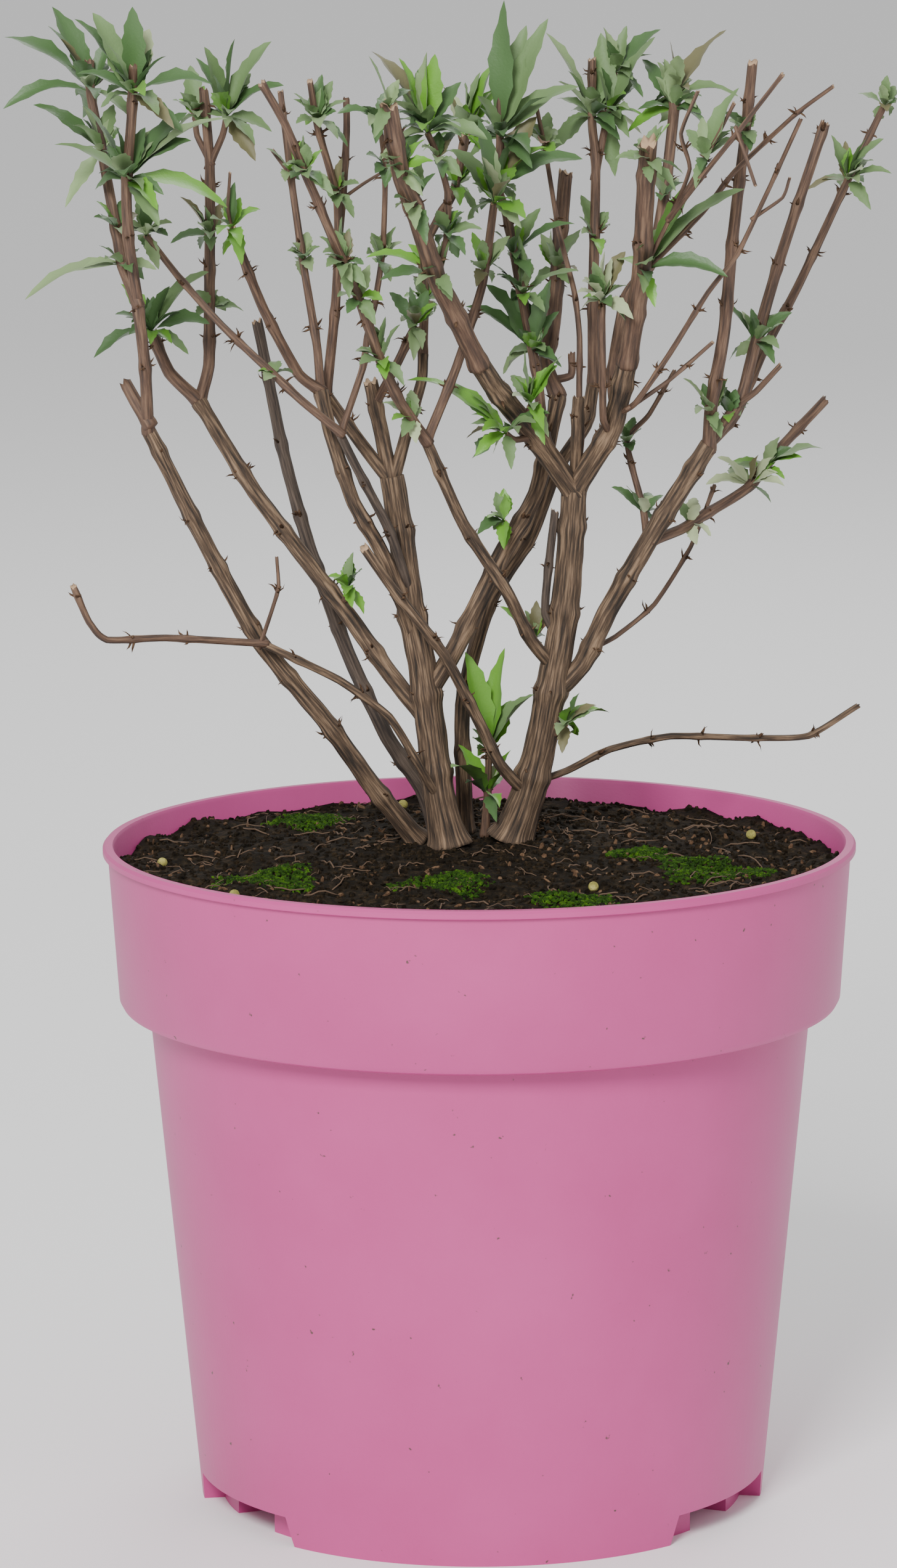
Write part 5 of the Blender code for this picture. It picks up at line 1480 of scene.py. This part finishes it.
    def dress(self) -> None:
        """Builds all the soil's pieces in place of its solid."""
        earth = Loose.SOIL.value.make()
        dress(finished_piece("soil_bed", self.surface(True), [earth]), "soil", "soil")
        crumbs = Scatter("soil_crumbs", density=170000.0, low=(0.35, 0.35, 0.3),
                         high=(1.25, 1.1, 0.9), seed=7)
        dress(crumbs.over(self.surface(False), earth), "soil")
        chips = Scatter("bark_chips", density=14000.0, low=(0.4, 0.5, 0.25),
                        high=(1.7, 0.9, 0.5), seed=17)
        dress(chips.over(self.surface(False), Loose.CHIP.value.make()), "soil")
        dress(self.fibres(), "soil")
        moss = Loose.MOSS.value.make()
        for index, (x, y, radius) in enumerate(self.moss_spots):
            clump = Scatter(f"moss_{index}", density=1500000.0, low=(0.25, 0.25, 0.35),
                            high=(0.6, 0.6, 1.0), seed=30 + index)
            dress(clump.over(self.patch(x, y, radius), moss), "soil")
        dress(self.pellets(), "soil")


def sweep(bm: bmesh.types.BMesh, path: list, radii: list, sides: int,
          shape: Callable[[float, float], float] | None = None, torn: float = 0.0,
          uv: bmesh.types.BMLayerItem | None = None) -> None:
    """A closed tube along a path in mm.

    Args:
        bm: the bmesh that takes it.
        path: centre points.
        radii: one radius for each point.
        sides: number of sides.
        shape: a function of (length run, turn) that scales the radius.
        torn: how far the last ring's points are jagged along the tube.
        uv: the UV layer that takes (around, along) in metres.
    """
    across = None
    rings = []
    run = 0.0
    runs = []
    for i, (centre, radius) in enumerate(zip(path, radii)):
        if i:
            run += (centre - path[i - 1]).length
        runs.append(run)
        before, after = path[max(i - 1, 0)], path[min(i + 1, len(path) - 1)]
        along = (after - before).normalized()
        guide = Vector((0.3, 1.0, 0.1)) if across is None else across
        across = (guide - along * guide.dot(along)).normalized()
        other = along.cross(across)
        ring = []
        for k in range(sides):
            turn = math.tau * k / sides
            scale = shape(run, turn) if shape else 1.0
            spot = centre + (across * math.cos(turn) + other * math.sin(turn)) * radius * scale
            if torn and i == len(path) - 1:
                spot += along * torn * math.sin(turn * 2 + run) * math.cos(turn * 3 + 1.0)
            ring.append(bm.verts.new(spot * MM))
        rings.append(ring)
    for i, (lower, upper) in enumerate(zip(rings, rings[1:])):
        for k in range(sides):
            j = (k + 1) % sides
            face = bm.faces.new((lower[k], lower[j], upper[j], upper[k]))
            if uv:
                girth = math.tau * radii[0] * MM
                spots = ((k, i), (k + 1, i), (k + 1, i + 1), (k, i + 1))
                for loop, (column, row) in zip(face.loops, spots):
                    loop[uv].uv = (girth * column / sides, runs[row] * MM)
    for ring, inward in ((rings[0], 1.0), (rings[-1], -1.0)):
        end = path[0] if inward > 0 else path[-1]
        middle = bm.verts.new((end - (path[-1] - path[-2]).normalized() * torn * 0.4) * MM)
        for k in range(sides):
            j = (k + 1) % sides
            spots = (ring[j], ring[k], middle) if inward > 0 else (ring[k], ring[j], middle)
            face = bm.faces.new(spots)
            face.material_index = 1 if inward < 0 and torn else 0


def smooth_course(points: list, step: float) -> list:
    """A smooth curve through given points, drawn a little towards the straight lines.

    Args:
        points: the points.
        step: about how far apart the curve's points are, mm.

    Returns:
        The curve's points.
    """
    straighten = 0.45
    ends = [points[0] * 2 - points[1], *points, points[-1] * 2 - points[-2]]
    path = []
    for i in range(1, len(ends) - 2):
        a, b, c, d = ends[i - 1:i + 3]
        count = max(2, round((c - b).length / step))
        for k in range(count):
            t = k / count
            curve = (b * 2 + (c - a) * t + (a * 2 - b * 5 + c * 4 - d) * t * t
                     + (b * 3 - a - c * 3 + d) * t ** 3) * 0.5
            path.append(curve.lerp(b.lerp(c, t), straighten))
    path.append(ends[-2])
    return path


@dataclass
class Wood:
    """All the limbs' bark, old and young, grown on the solids' courses, in mm."""

    step: float = 0.9
    sunk: float = 1.6
    knot_gap: tuple = (14.0, 22.0)
    knot_start: float = 0.8
    knot_width: float = 1.7
    knot_swell: float = 0.17
    flare_fade: float = 5.0
    thick_from: float = 1.9
    rib_depth: tuple = (0.035, 0.085)
    sides: tuple = (12, 20)
    torn_share: float = 0.8
    joint_reach: float = 4.5
    buds: tuple = (3, 7)
    bud_length: tuple = (1.0, 3.0)
    bud_width: tuple = (0.30, 0.62)
    bud_turn: float = 0.7
    bud_lean: tuple = (-0.3, 1.3)
    bud_depth: float = 0.8
    bud_along: float = 0.7
    bud_curl: float = 0.35
    bud_flat: float = 0.6
    bud_waist: tuple = (0.55, 0.75)
    dark_names: tuple = ("stem_back_left", "stem_thin_left", "stub_grey")
    scales: bmesh.types.BMesh = field(default_factory=bmesh.new)

    def grow(self, bm: bmesh.types.BMesh, uv: bmesh.types.BMLayerItem, part: Limb,
             rng: random.Random) -> None:
        """Adds one limb with its knots, ribs and torn end.

        Args:
            bm: the bmesh that takes it.
            uv: its UV layer.
            part: the limb.
            rng: the source of chance.
        """
        course = [place(*spot) for spot in part.course]
        if part.parent != "soil":
            course[0] += (course[0] - course[1]).normalized() * self.sunk
        path = smooth_course(course, self.step)
        length = sum((b - a).length for a, b in zip(path, path[1:]))
        knots = [self.knot_start * self.sunk if part.parent != "soil" else 0.0]
        while knots[-1] < length:
            knots.append(knots[-1] + rng.uniform(*self.knot_gap))
        run = 0.0
        radii = []
        for i, point in enumerate(path):
            if i:
                run += (point - path[i - 1]).length
            radius = part.foot_r + (part.tip_r - part.foot_r) * run / length
            swell = sum(math.exp(-((run - k) / self.knot_width) ** 2) for k in knots)
            flare = (part.flare - 1.0) * math.exp(-run / self.flare_fade)
            radii.append(radius * (1.0 + self.knot_swell * swell + flare))
        self.bud_scars(path, radii, knots, rng)
        thick = part.foot_r > self.thick_from
        depth = self.rib_depth[thick]
        phases = [rng.uniform(0, math.tau) for _ in range(4)]

        def ribs(run_here: float, turn: float) -> float:
            """The radius's share at a length and a turn: five ribs, seven fine lines, slow lumps."""
            twist = 0.02 * run_here
            rib = abs(math.sin(2.5 * (turn + twist) + phases[0] + 0.25 * math.sin(run_here * 0.5)))
            fine = math.sin(7 * turn + phases[1] + run_here * 0.11) * 0.4
            lump = math.sin(run_here * 0.7 + phases[2] + 2 * math.sin(turn + phases[3])) * 0.18
            return 0.97 + depth * (rib - 0.7 + fine + lump)

        torn = 0.0 if self.goes_on(part) else self.torn_share * part.tip_r
        sweep(bm, path, radii, self.sides[thick], ribs, torn=torn, uv=uv)

    def goes_on(self, part: Limb) -> bool:
        """Whether another limb carries on from this limb's end.

        Args:
            part: the limb.

        Returns:
            True where it does, so that the end isn't torn.
        """
        tip = place(*part.course[-1])
        others = [*BOUGHS, *(spray.stem for spray in SPRAYS)]
        return any((place(*other.course[0]) - tip).length < self.joint_reach for other in others)

    def bud_scars(self, path: list, radii: list, knots: list, rng: random.Random) -> None:
        """Dried buds and bracts round each knot.

        Args:
            path: the limb's centre points.
            radii: its radius at each.
            knots: how far along the limb each knot lies.
            rng: the source of chance.
        """
        run = 0.0
        ahead = knots[1:]
        for i in range(1, len(path) - 1):
            run += (path[i] - path[i - 1]).length
            if not ahead or run < ahead[0]:
                continue
            ahead = ahead[1:]
            along = (path[i + 1] - path[i]).normalized()
            across = along.orthogonal().normalized()
            other = along.cross(across)
            start = rng.uniform(0, math.tau)
            for k in range(rng.randint(*self.buds)):
                turn = start + math.pi * (k % 2) + rng.uniform(-self.bud_turn, self.bud_turn)
                out = across * math.cos(turn) + other * math.sin(turn)
                lean = rng.uniform(*self.bud_lean)
                way = (out + along * lean).normalized()
                length = rng.uniform(*self.bud_length)
                shift = rng.uniform(-self.bud_along, self.bud_along)
                root = path[i] + out * radii[i] * self.bud_depth + along * shift
                self.flake(root, way, length, along, rng)

    def flake(self, root: Vector, way: Vector, length: float, along: Vector,
              rng: random.Random) -> None:
        """One curled scale: a small pointed cone that is bent at its middle.

        Args:
            root: where it starts.
            way: its direction.
            length: its length.
            along: the limb's direction there.
            rng: the source of chance.
        """
        side = way.cross(along).normalized()
        back = side.cross(way)
        width = rng.uniform(*self.bud_width)
        bend = back * rng.uniform(-self.bud_curl, self.bud_curl) * length
        ring = [root + side * width, root + back * width * self.bud_flat, root - side * width,
                root - back * width * self.bud_flat]
        waist_at, waist_share = self.bud_waist
        middle = root + way * length * waist_at
        waist = [middle + (spot - root) * waist_share for spot in ring]
        tip = self.scales.verts.new((root + way * length + bend) * MM)
        low = [self.scales.verts.new(spot * MM) for spot in ring]
        high = [self.scales.verts.new(spot * MM) for spot in waist]
        for k in range(4):
            j = (k + 1) % 4
            self.scales.faces.new((low[k], low[j], high[j], high[k]))
            self.scales.faces.new((high[k], high[j], tip))
        self.scales.faces.new(list(reversed(low)))

    def piece(self, name: str, parts: list, finish: Grown, seed: int) -> bpy.types.Object:
        """One object with the bark of several limbs.

        Args:
            name: the object's name.
            parts: the limbs.
            finish: their bark.
            seed: what its chance starts from.

        Returns:
            The object.
        """
        bm = bmesh.new()
        uv = bm.loops.layers.uv.new("grain")
        rng = random.Random(seed)
        for part in parts:
            self.grow(bm, uv, part, rng)
        return finished_piece(name, bm, [finish.value.make(), Grown.TORN.value.make()])

    def dress(self) -> None:
        """Builds the bark pieces in place of the limbs' solids."""
        old = [part for part in BOUGHS if part.name not in self.dark_names]
        dark = [part for part in BOUGHS if part.name in self.dark_names]
        twigs = [part for spray in SPRAYS for part in (spray.stem, *spray.forks)]
        for name, parts, finish, seed in (
                ("bark_old", old, Grown.OLD, 5), ("bark_dark", dark, Grown.DARK, 6),
                ("bark_young", twigs, Grown.YOUNG, 7)):
            nodes = [part.name for part in parts if part.name]
            dress(self.piece(name, parts, finish, seed), "bark", *nodes)
        bmesh.ops.recalc_face_normals(self.scales, faces=self.scales.faces)
        dress(finished_piece("dried_buds", self.scales, [Loose.BUD.value.make()]), "bark")


@dataclass
class Foliage:
    """All the leaves: those of the solids and the rest of each whorl, in mm and degrees."""

    steps: int = 11
    columns: tuple = (-1.0, -0.5, 0.0, 0.5, 1.0)
    more: float = 2.0
    longer: float = 1.32
    width_share: float = 0.23
    width_range: tuple = (2.6, 5.2)
    long_leaf: float = 17.0
    tilt: tuple = (22.0, 74.0)
    tries: int = 7
    solid_share: float = 0.35
    reach_tries: tuple = (0.0, 4.0, -4.0, 8.0, -8.0, 12.0, -12.0)
    soil_room: float = 1.0
    same_sight: float = 0.3
    favour: float = 0.4
    depth_spread: float = 6.0
    width_spread: tuple = (0.8, 1.25)
    length_spread: tuple = (0.62, 1.0)
    turn_spread: float = 0.3
    next_turn: float = 0.9
    arch: tuple = (0.04, 0.22)
    face_in: float = 0.6
    face_aside: float = 0.4
    face_front: tuple = (0.1, 0.7)
    face_up: float = 0.9
    fold: tuple = (0.12, 0.5)
    wave: tuple = (0.05, 0.28)
    wave_turns: tuple = (9.0, 2.0)
    curl: tuple = (-0.12, 0.05)
    curl_from: float = 0.6
    tooth: float = 0.10
    stalk: float = 0.1
    stalk_half: float = 0.28
    tip_half: float = 0.05
    half_share: float = 0.66
    belly_lean: float = 0.75
    belly_full: float = 0.85

    def leaf_to(self, root: Vector, tip: Vector, rng: random.Random) -> Leaf:
        """A leaf from root to tip, arched more the further it leans out, with its face upwards.

        Args:
            root: where it starts.
            tip: where it ends.
            rng: the source of chance.

        Returns:
            The leaf.
        """
        span = tip - root
        length = span.length
        flat = math.hypot(span.x, span.y) / length
        lift = length * (self.arch[0] + self.arch[1] * flat)
        steps = 3 if length > self.long_leaf else 2
        least, most = self.width_range
        spread = rng.uniform(*self.width_spread)
        width = min(max(length * self.width_share * spread, least), most)
        aside = rng.uniform(-self.face_aside, self.face_aside)
        front = rng.uniform(*self.face_front)
        face = Vector((-span.x * self.face_in + aside * length,
                       -span.y * self.face_in - front * length, length * self.face_up))
        return Leaf(leaf_spine(root, tip, lift, steps), width, face.normalized(), lift)

    def whorl_leaf(self, root: Vector, axis: Vector, tuft: Tuft, index: int, rng: random.Random,
                   attempt: int) -> Leaf:
        """A leaf of the whorl by rule: turned by the golden angle, the later ones more spread.

        Args:
            root: where the whorl's leaves start.
            axis: the twig's direction there.
            tuft: the whorl.
            index: the leaf's number in it.
            rng: the source of chance.
            attempt: which try this is, each turned a little further.

        Returns:
            The leaf.
        """
        turn = GOLDEN_TURN * index + attempt * self.next_turn
        turn += rng.uniform(-self.turn_spread, self.turn_spread)
        tilt = self.tilt[0] + (self.tilt[1] - self.tilt[0]) * (index + 0.5) / tuft.leaves
        side = axis.orthogonal().normalized()
        other = axis.cross(side)
        out = side * math.cos(turn) + other * math.sin(turn)
        way = axis * math.cos(math.radians(tilt)) + out * math.sin(math.radians(tilt))
        length = tuft.size * rng.uniform(*self.length_spread)
        return self.leaf_to(root, root + way.normalized() * length, rng)

    def grow(self, spray: Spray, taken: np.ndarray, rng: random.Random) -> list:
        """The leaves that the spray's solid carries.

        Args:
            spray: the spray.
            taken: the beads of all that other nodes hold, which each leaf stays clear of.
            rng: the source of chance.

        Returns:
            The leaves.
        """
        leaves = []

        def clear_of_others(leaf: Leaf) -> bool:
            """Whether a leaf stays clear of the soil and of the other nodes."""
            rows = leaf.beads()
            low = rows[:, 2].min() - (SOIL_CROWN + self.soil_room)
            return low > 0 and room_between(rows, taken) > 0

        for tuft in spray.tufts:
            root, axis, depth = root_of(spray, tuft)
            for tip in tuft.reach:
                sink = tip[2] if len(tip) == 3 else depth + rng.uniform(
                    -self.depth_spread, self.depth_spread)
                for shift in self.reach_tries:
                    leaf = self.leaf_to(root, place(tip[0], tip[1], sink + shift), rng)
                    if clear_of_others(leaf):
                        leaves.append(leaf)
                        break
            for index in range(round(tuft.leaves * self.solid_share)):
                for attempt in range(self.tries):
                    leaf = self.whorl_leaf(root, axis, tuft, index, rng, attempt)
                    if clear_of_others(leaf):
                        leaves.append(leaf)
                        break
        return leaves

    def extra(self, spray: Spray, grown: list, wood: np.ndarray, rng: random.Random) -> list:
        """The leaves that the solids leave out, clear of the limbs only.

        Args:
            spray: the spray.
            grown: the leaves that its solid carries.
            wood: the beads of all other nodes' limbs.
            rng: the source of chance.

        Returns:
            The further leaves.
        """
        leaves = []
        for tuft in spray.tufts:
            root, axis, depth = root_of(spray, tuft)
            for tip in tuft.reach:
                sight = (place(tip[0], tip[1], 0.0) - EYE).normalized()
                if any(sight.cross(leaf.spine[-1] - EYE).length < self.same_sight for leaf in grown):
                    continue
                for shift in self.reach_tries:
                    leaf = self.leaf_to(root, place(tip[0], tip[1], depth + shift), rng)
                    if room_between(leaf.beads(), wood) > -LEAF_ROOM:
                        leaves.append(leaf)
                        break
            fuller = replace(tuft, size=tuft.size * self.longer)
            for index in range(round(tuft.leaves * self.more)):
                leaf = self.whorl_leaf(root, axis, fuller, index, rng, index)
                rows = leaf.beads()
                if room_between(rows, wood) > -LEAF_ROOM and rows[:, 2].min() > SOIL_CROWN:
                    leaves.append(leaf)
        return leaves

    def half_width(self, leaf: Leaf, t: float) -> float:
        """Half the blade's width: a stalk, a belly and a drawn-out tip.

        Args:
            leaf: the leaf.
            t: the share of its length.

        Returns:
            The half width.
        """
        if t < self.stalk:
            return self.stalk_half
        share = (t - self.stalk) / (1.0 - self.stalk)
        full = math.sin(math.pi * share ** self.belly_lean) ** self.belly_full
        return max(self.tip_half, self.half_share * leaf.width * full)

    def blade(self, bm: bmesh.types.BMesh, leaf: Leaf, rng: random.Random) -> None:
        """Adds one leaf: a folded blade with waved, toothed edges on a short stalk.

        Args:
            bm: the bmesh that takes it.
            leaf: the leaf.
            rng: the source of chance.
        """
        root, tip = leaf.spine[0], leaf.spine[-1]
        length = (tip - root).length
        spine = leaf_spine(root, tip, leaf.lift, self.steps)
        fold = rng.uniform(*self.fold)
        wave = rng.uniform(*self.wave)
        phase = rng.uniform(0, math.tau)
        curl = rng.uniform(*self.curl) * length
        along_turn, across_turn = self.wave_turns
        rows = []
        for i, centre in enumerate(spine):
            t = i / self.steps
            along = (spine[min(i + 1, self.steps)] - spine[max(i - 1, 0)]).normalized()
            side = along.cross(leaf.face).normalized()
            out = side.cross(along).normalized()
            if out.dot(leaf.face) < 0:
                out = -out
            half = self.half_width(leaf, t) * (1.0 + self.tooth * (-1) ** i)
            row = []
            for column in self.columns:
                ripple = wave * half * math.sin(
                    phase + along_turn * t + across_turn * column) * abs(column)
                tail = curl * max(0.0, t - self.curl_from) ** 2
                rise = fold * half * abs(column) + ripple + tail
                row.append(bm.verts.new((centre + side * half * column + out * rise) * MM))
            rows.append(row)
        for lower, upper in zip(rows, rows[1:]):
            for k in range(len(self.columns) - 1):
                bm.faces.new((lower[k], lower[k + 1], upper[k + 1], upper[k]))

    def dress(self) -> None:
        """Grows every spray and deals its tints out, each spray with a favourite."""
        every = {part.name: beads(part) for part in BOUGHS}
        for spray in SPRAYS:
            every[spray.stem.name] = np.concatenate(
                [beads(part) for part in (spray.stem, *spray.forks)])
        meshes = {tint: bmesh.new() for tint in Tint}
        holders = {tint: set() for tint in Tint}
        tints, weights = list(TINT_SHARES), list(TINT_SHARES.values())
        limbs_only = dict(every)
        total = 0
        for index, spray in enumerate(SPRAYS):
            name = spray.stem.name
            taken = np.concatenate([rows for other, rows in every.items() if other != name])
            leaves = self.grow(spray, taken, random.Random(SEED + index))
            if leaves:
                every[name] = np.concatenate([every[name]] + [leaf.beads() for leaf in leaves])
            rng = random.Random(TINT_SEED + index)
            wood = np.concatenate([rows for other, rows in limbs_only.items() if other != name])
            leaves += self.extra(spray, leaves, wood, rng)
            favourite = rng.choices(tints, weights)[0]
            if name.startswith("sprout"):
                favourite = Tint.YOUNG
            for leaf in leaves:
                tint = favourite if rng.random() < self.favour else rng.choices(tints, weights)[0]
                self.blade(meshes[tint], leaf, rng)
                holders[tint].add(name)
                total += 1
        for tint, bm in meshes.items():
            obj = finished_piece(tint.value.name, bm, [tint.value.make()])
            dress(obj, "foliage", *sorted(holders[tint]))
        log.info("leaves: %d", total)


@dataclass
class Studio:
    """The floor, the soft lights and the camera at the photograph's angle, in metres."""

    pitch: float = 0.1735
    yaw: float = -0.0049
    roll: float = -0.0055
    lens: float = 144.45
    sensor: float = 36.0
    clip: tuple = (0.05, 60.0)
    floor_size: float = 20.0
    floor_tone: float = 0.90
    sky: float = 0.72
    aim: tuple = (0, 0, 0.22)
    lights: tuple = (  # name, place, size and power in watts
        ("key", (-0.45, -1.7, 1.25), 0.6, 52.0),
        ("fill", (1.3, -0.9, 0.9), 1.2, 3.0),
        ("back", (0.4, 1.4, 1.5), 1.0, 12.0),
    )

    def camera(self) -> None:
        """The camera, turned by its pitch, yaw and roll in radians."""
        data = bpy.data.cameras.new("camera")
        data.lens = self.lens
        data.sensor_width = self.sensor
        data.clip_start, data.clip_end = self.clip
        obj = bpy.data.objects.new("camera", data)
        bpy.context.scene.collection.objects.link(obj)
        ahead = Vector((math.sin(self.yaw) * math.cos(self.pitch),
                        math.cos(self.yaw) * math.cos(self.pitch), -math.sin(self.pitch)))
        right = ahead.cross(Vector((0, 0, 1))).normalized()
        up = right.cross(ahead)
        cos, sin = math.cos(self.roll), math.sin(self.roll)
        right, up = right * cos + up * sin, up * cos - right * sin
        turn = Matrix((right, up, -ahead)).transposed().to_4x4()
        obj.matrix_world = Matrix.Translation(EYE * MM) @ turn
        bpy.context.scene.camera = obj

    def floor(self) -> None:
        """A plain pale floor that reaches past the top of the frame."""
        bm = bmesh.new()
        bmesh.ops.create_grid(bm, x_segments=2, y_segments=2, size=self.floor_size)
        build = ShaderBuild("floor", 0.8)
        build.set(Base_Color=(self.floor_tone, self.floor_tone, self.floor_tone, 1.0))
        finished_piece("floor", bm, [build.material], smooth=False)

    def light(self, name: str, spot: tuple, size: float, power: float) -> None:
        """One soft square light that faces the plant.

        Args:
            name: its name.
            spot: its place.
            size: its side.
            power: its power in watts.
        """
        data = bpy.data.lights.new(name, "AREA")
        data.size = size
        data.energy = power
        obj = bpy.data.objects.new(name, data)
        bpy.context.scene.collection.objects.link(obj)
        obj.location = spot
        way = Vector(self.aim) - Vector(spot)
        obj.rotation_euler = way.to_track_quat("-Z", "Y").to_euler()

    def build(self) -> None:
        """Sets everything round the object."""
        world = bpy.data.worlds.new("studio")
        bpy.context.scene.world = world
        world.use_nodes = True
        sky = world.node_tree.nodes["Background"]
        sky.inputs["Color"].default_value = (1.0, 1.0, 1.0, 1.0)
        sky.inputs["Strength"].default_value = self.sky
        for light in self.lights:
            self.light(*light)
        self.floor()
        self.camera()


def main() -> None:
    """Builds the studio and every piece."""
    logging.basicConfig(level=logging.INFO, format="%(name)s: %(message)s")
    Studio().build()
    pot = PottingPot()
    pot.dress()
    SoilBed(pot).dress()
    Wood().dress()
    Foliage().dress()


if __name__ == "__main__":
    main()
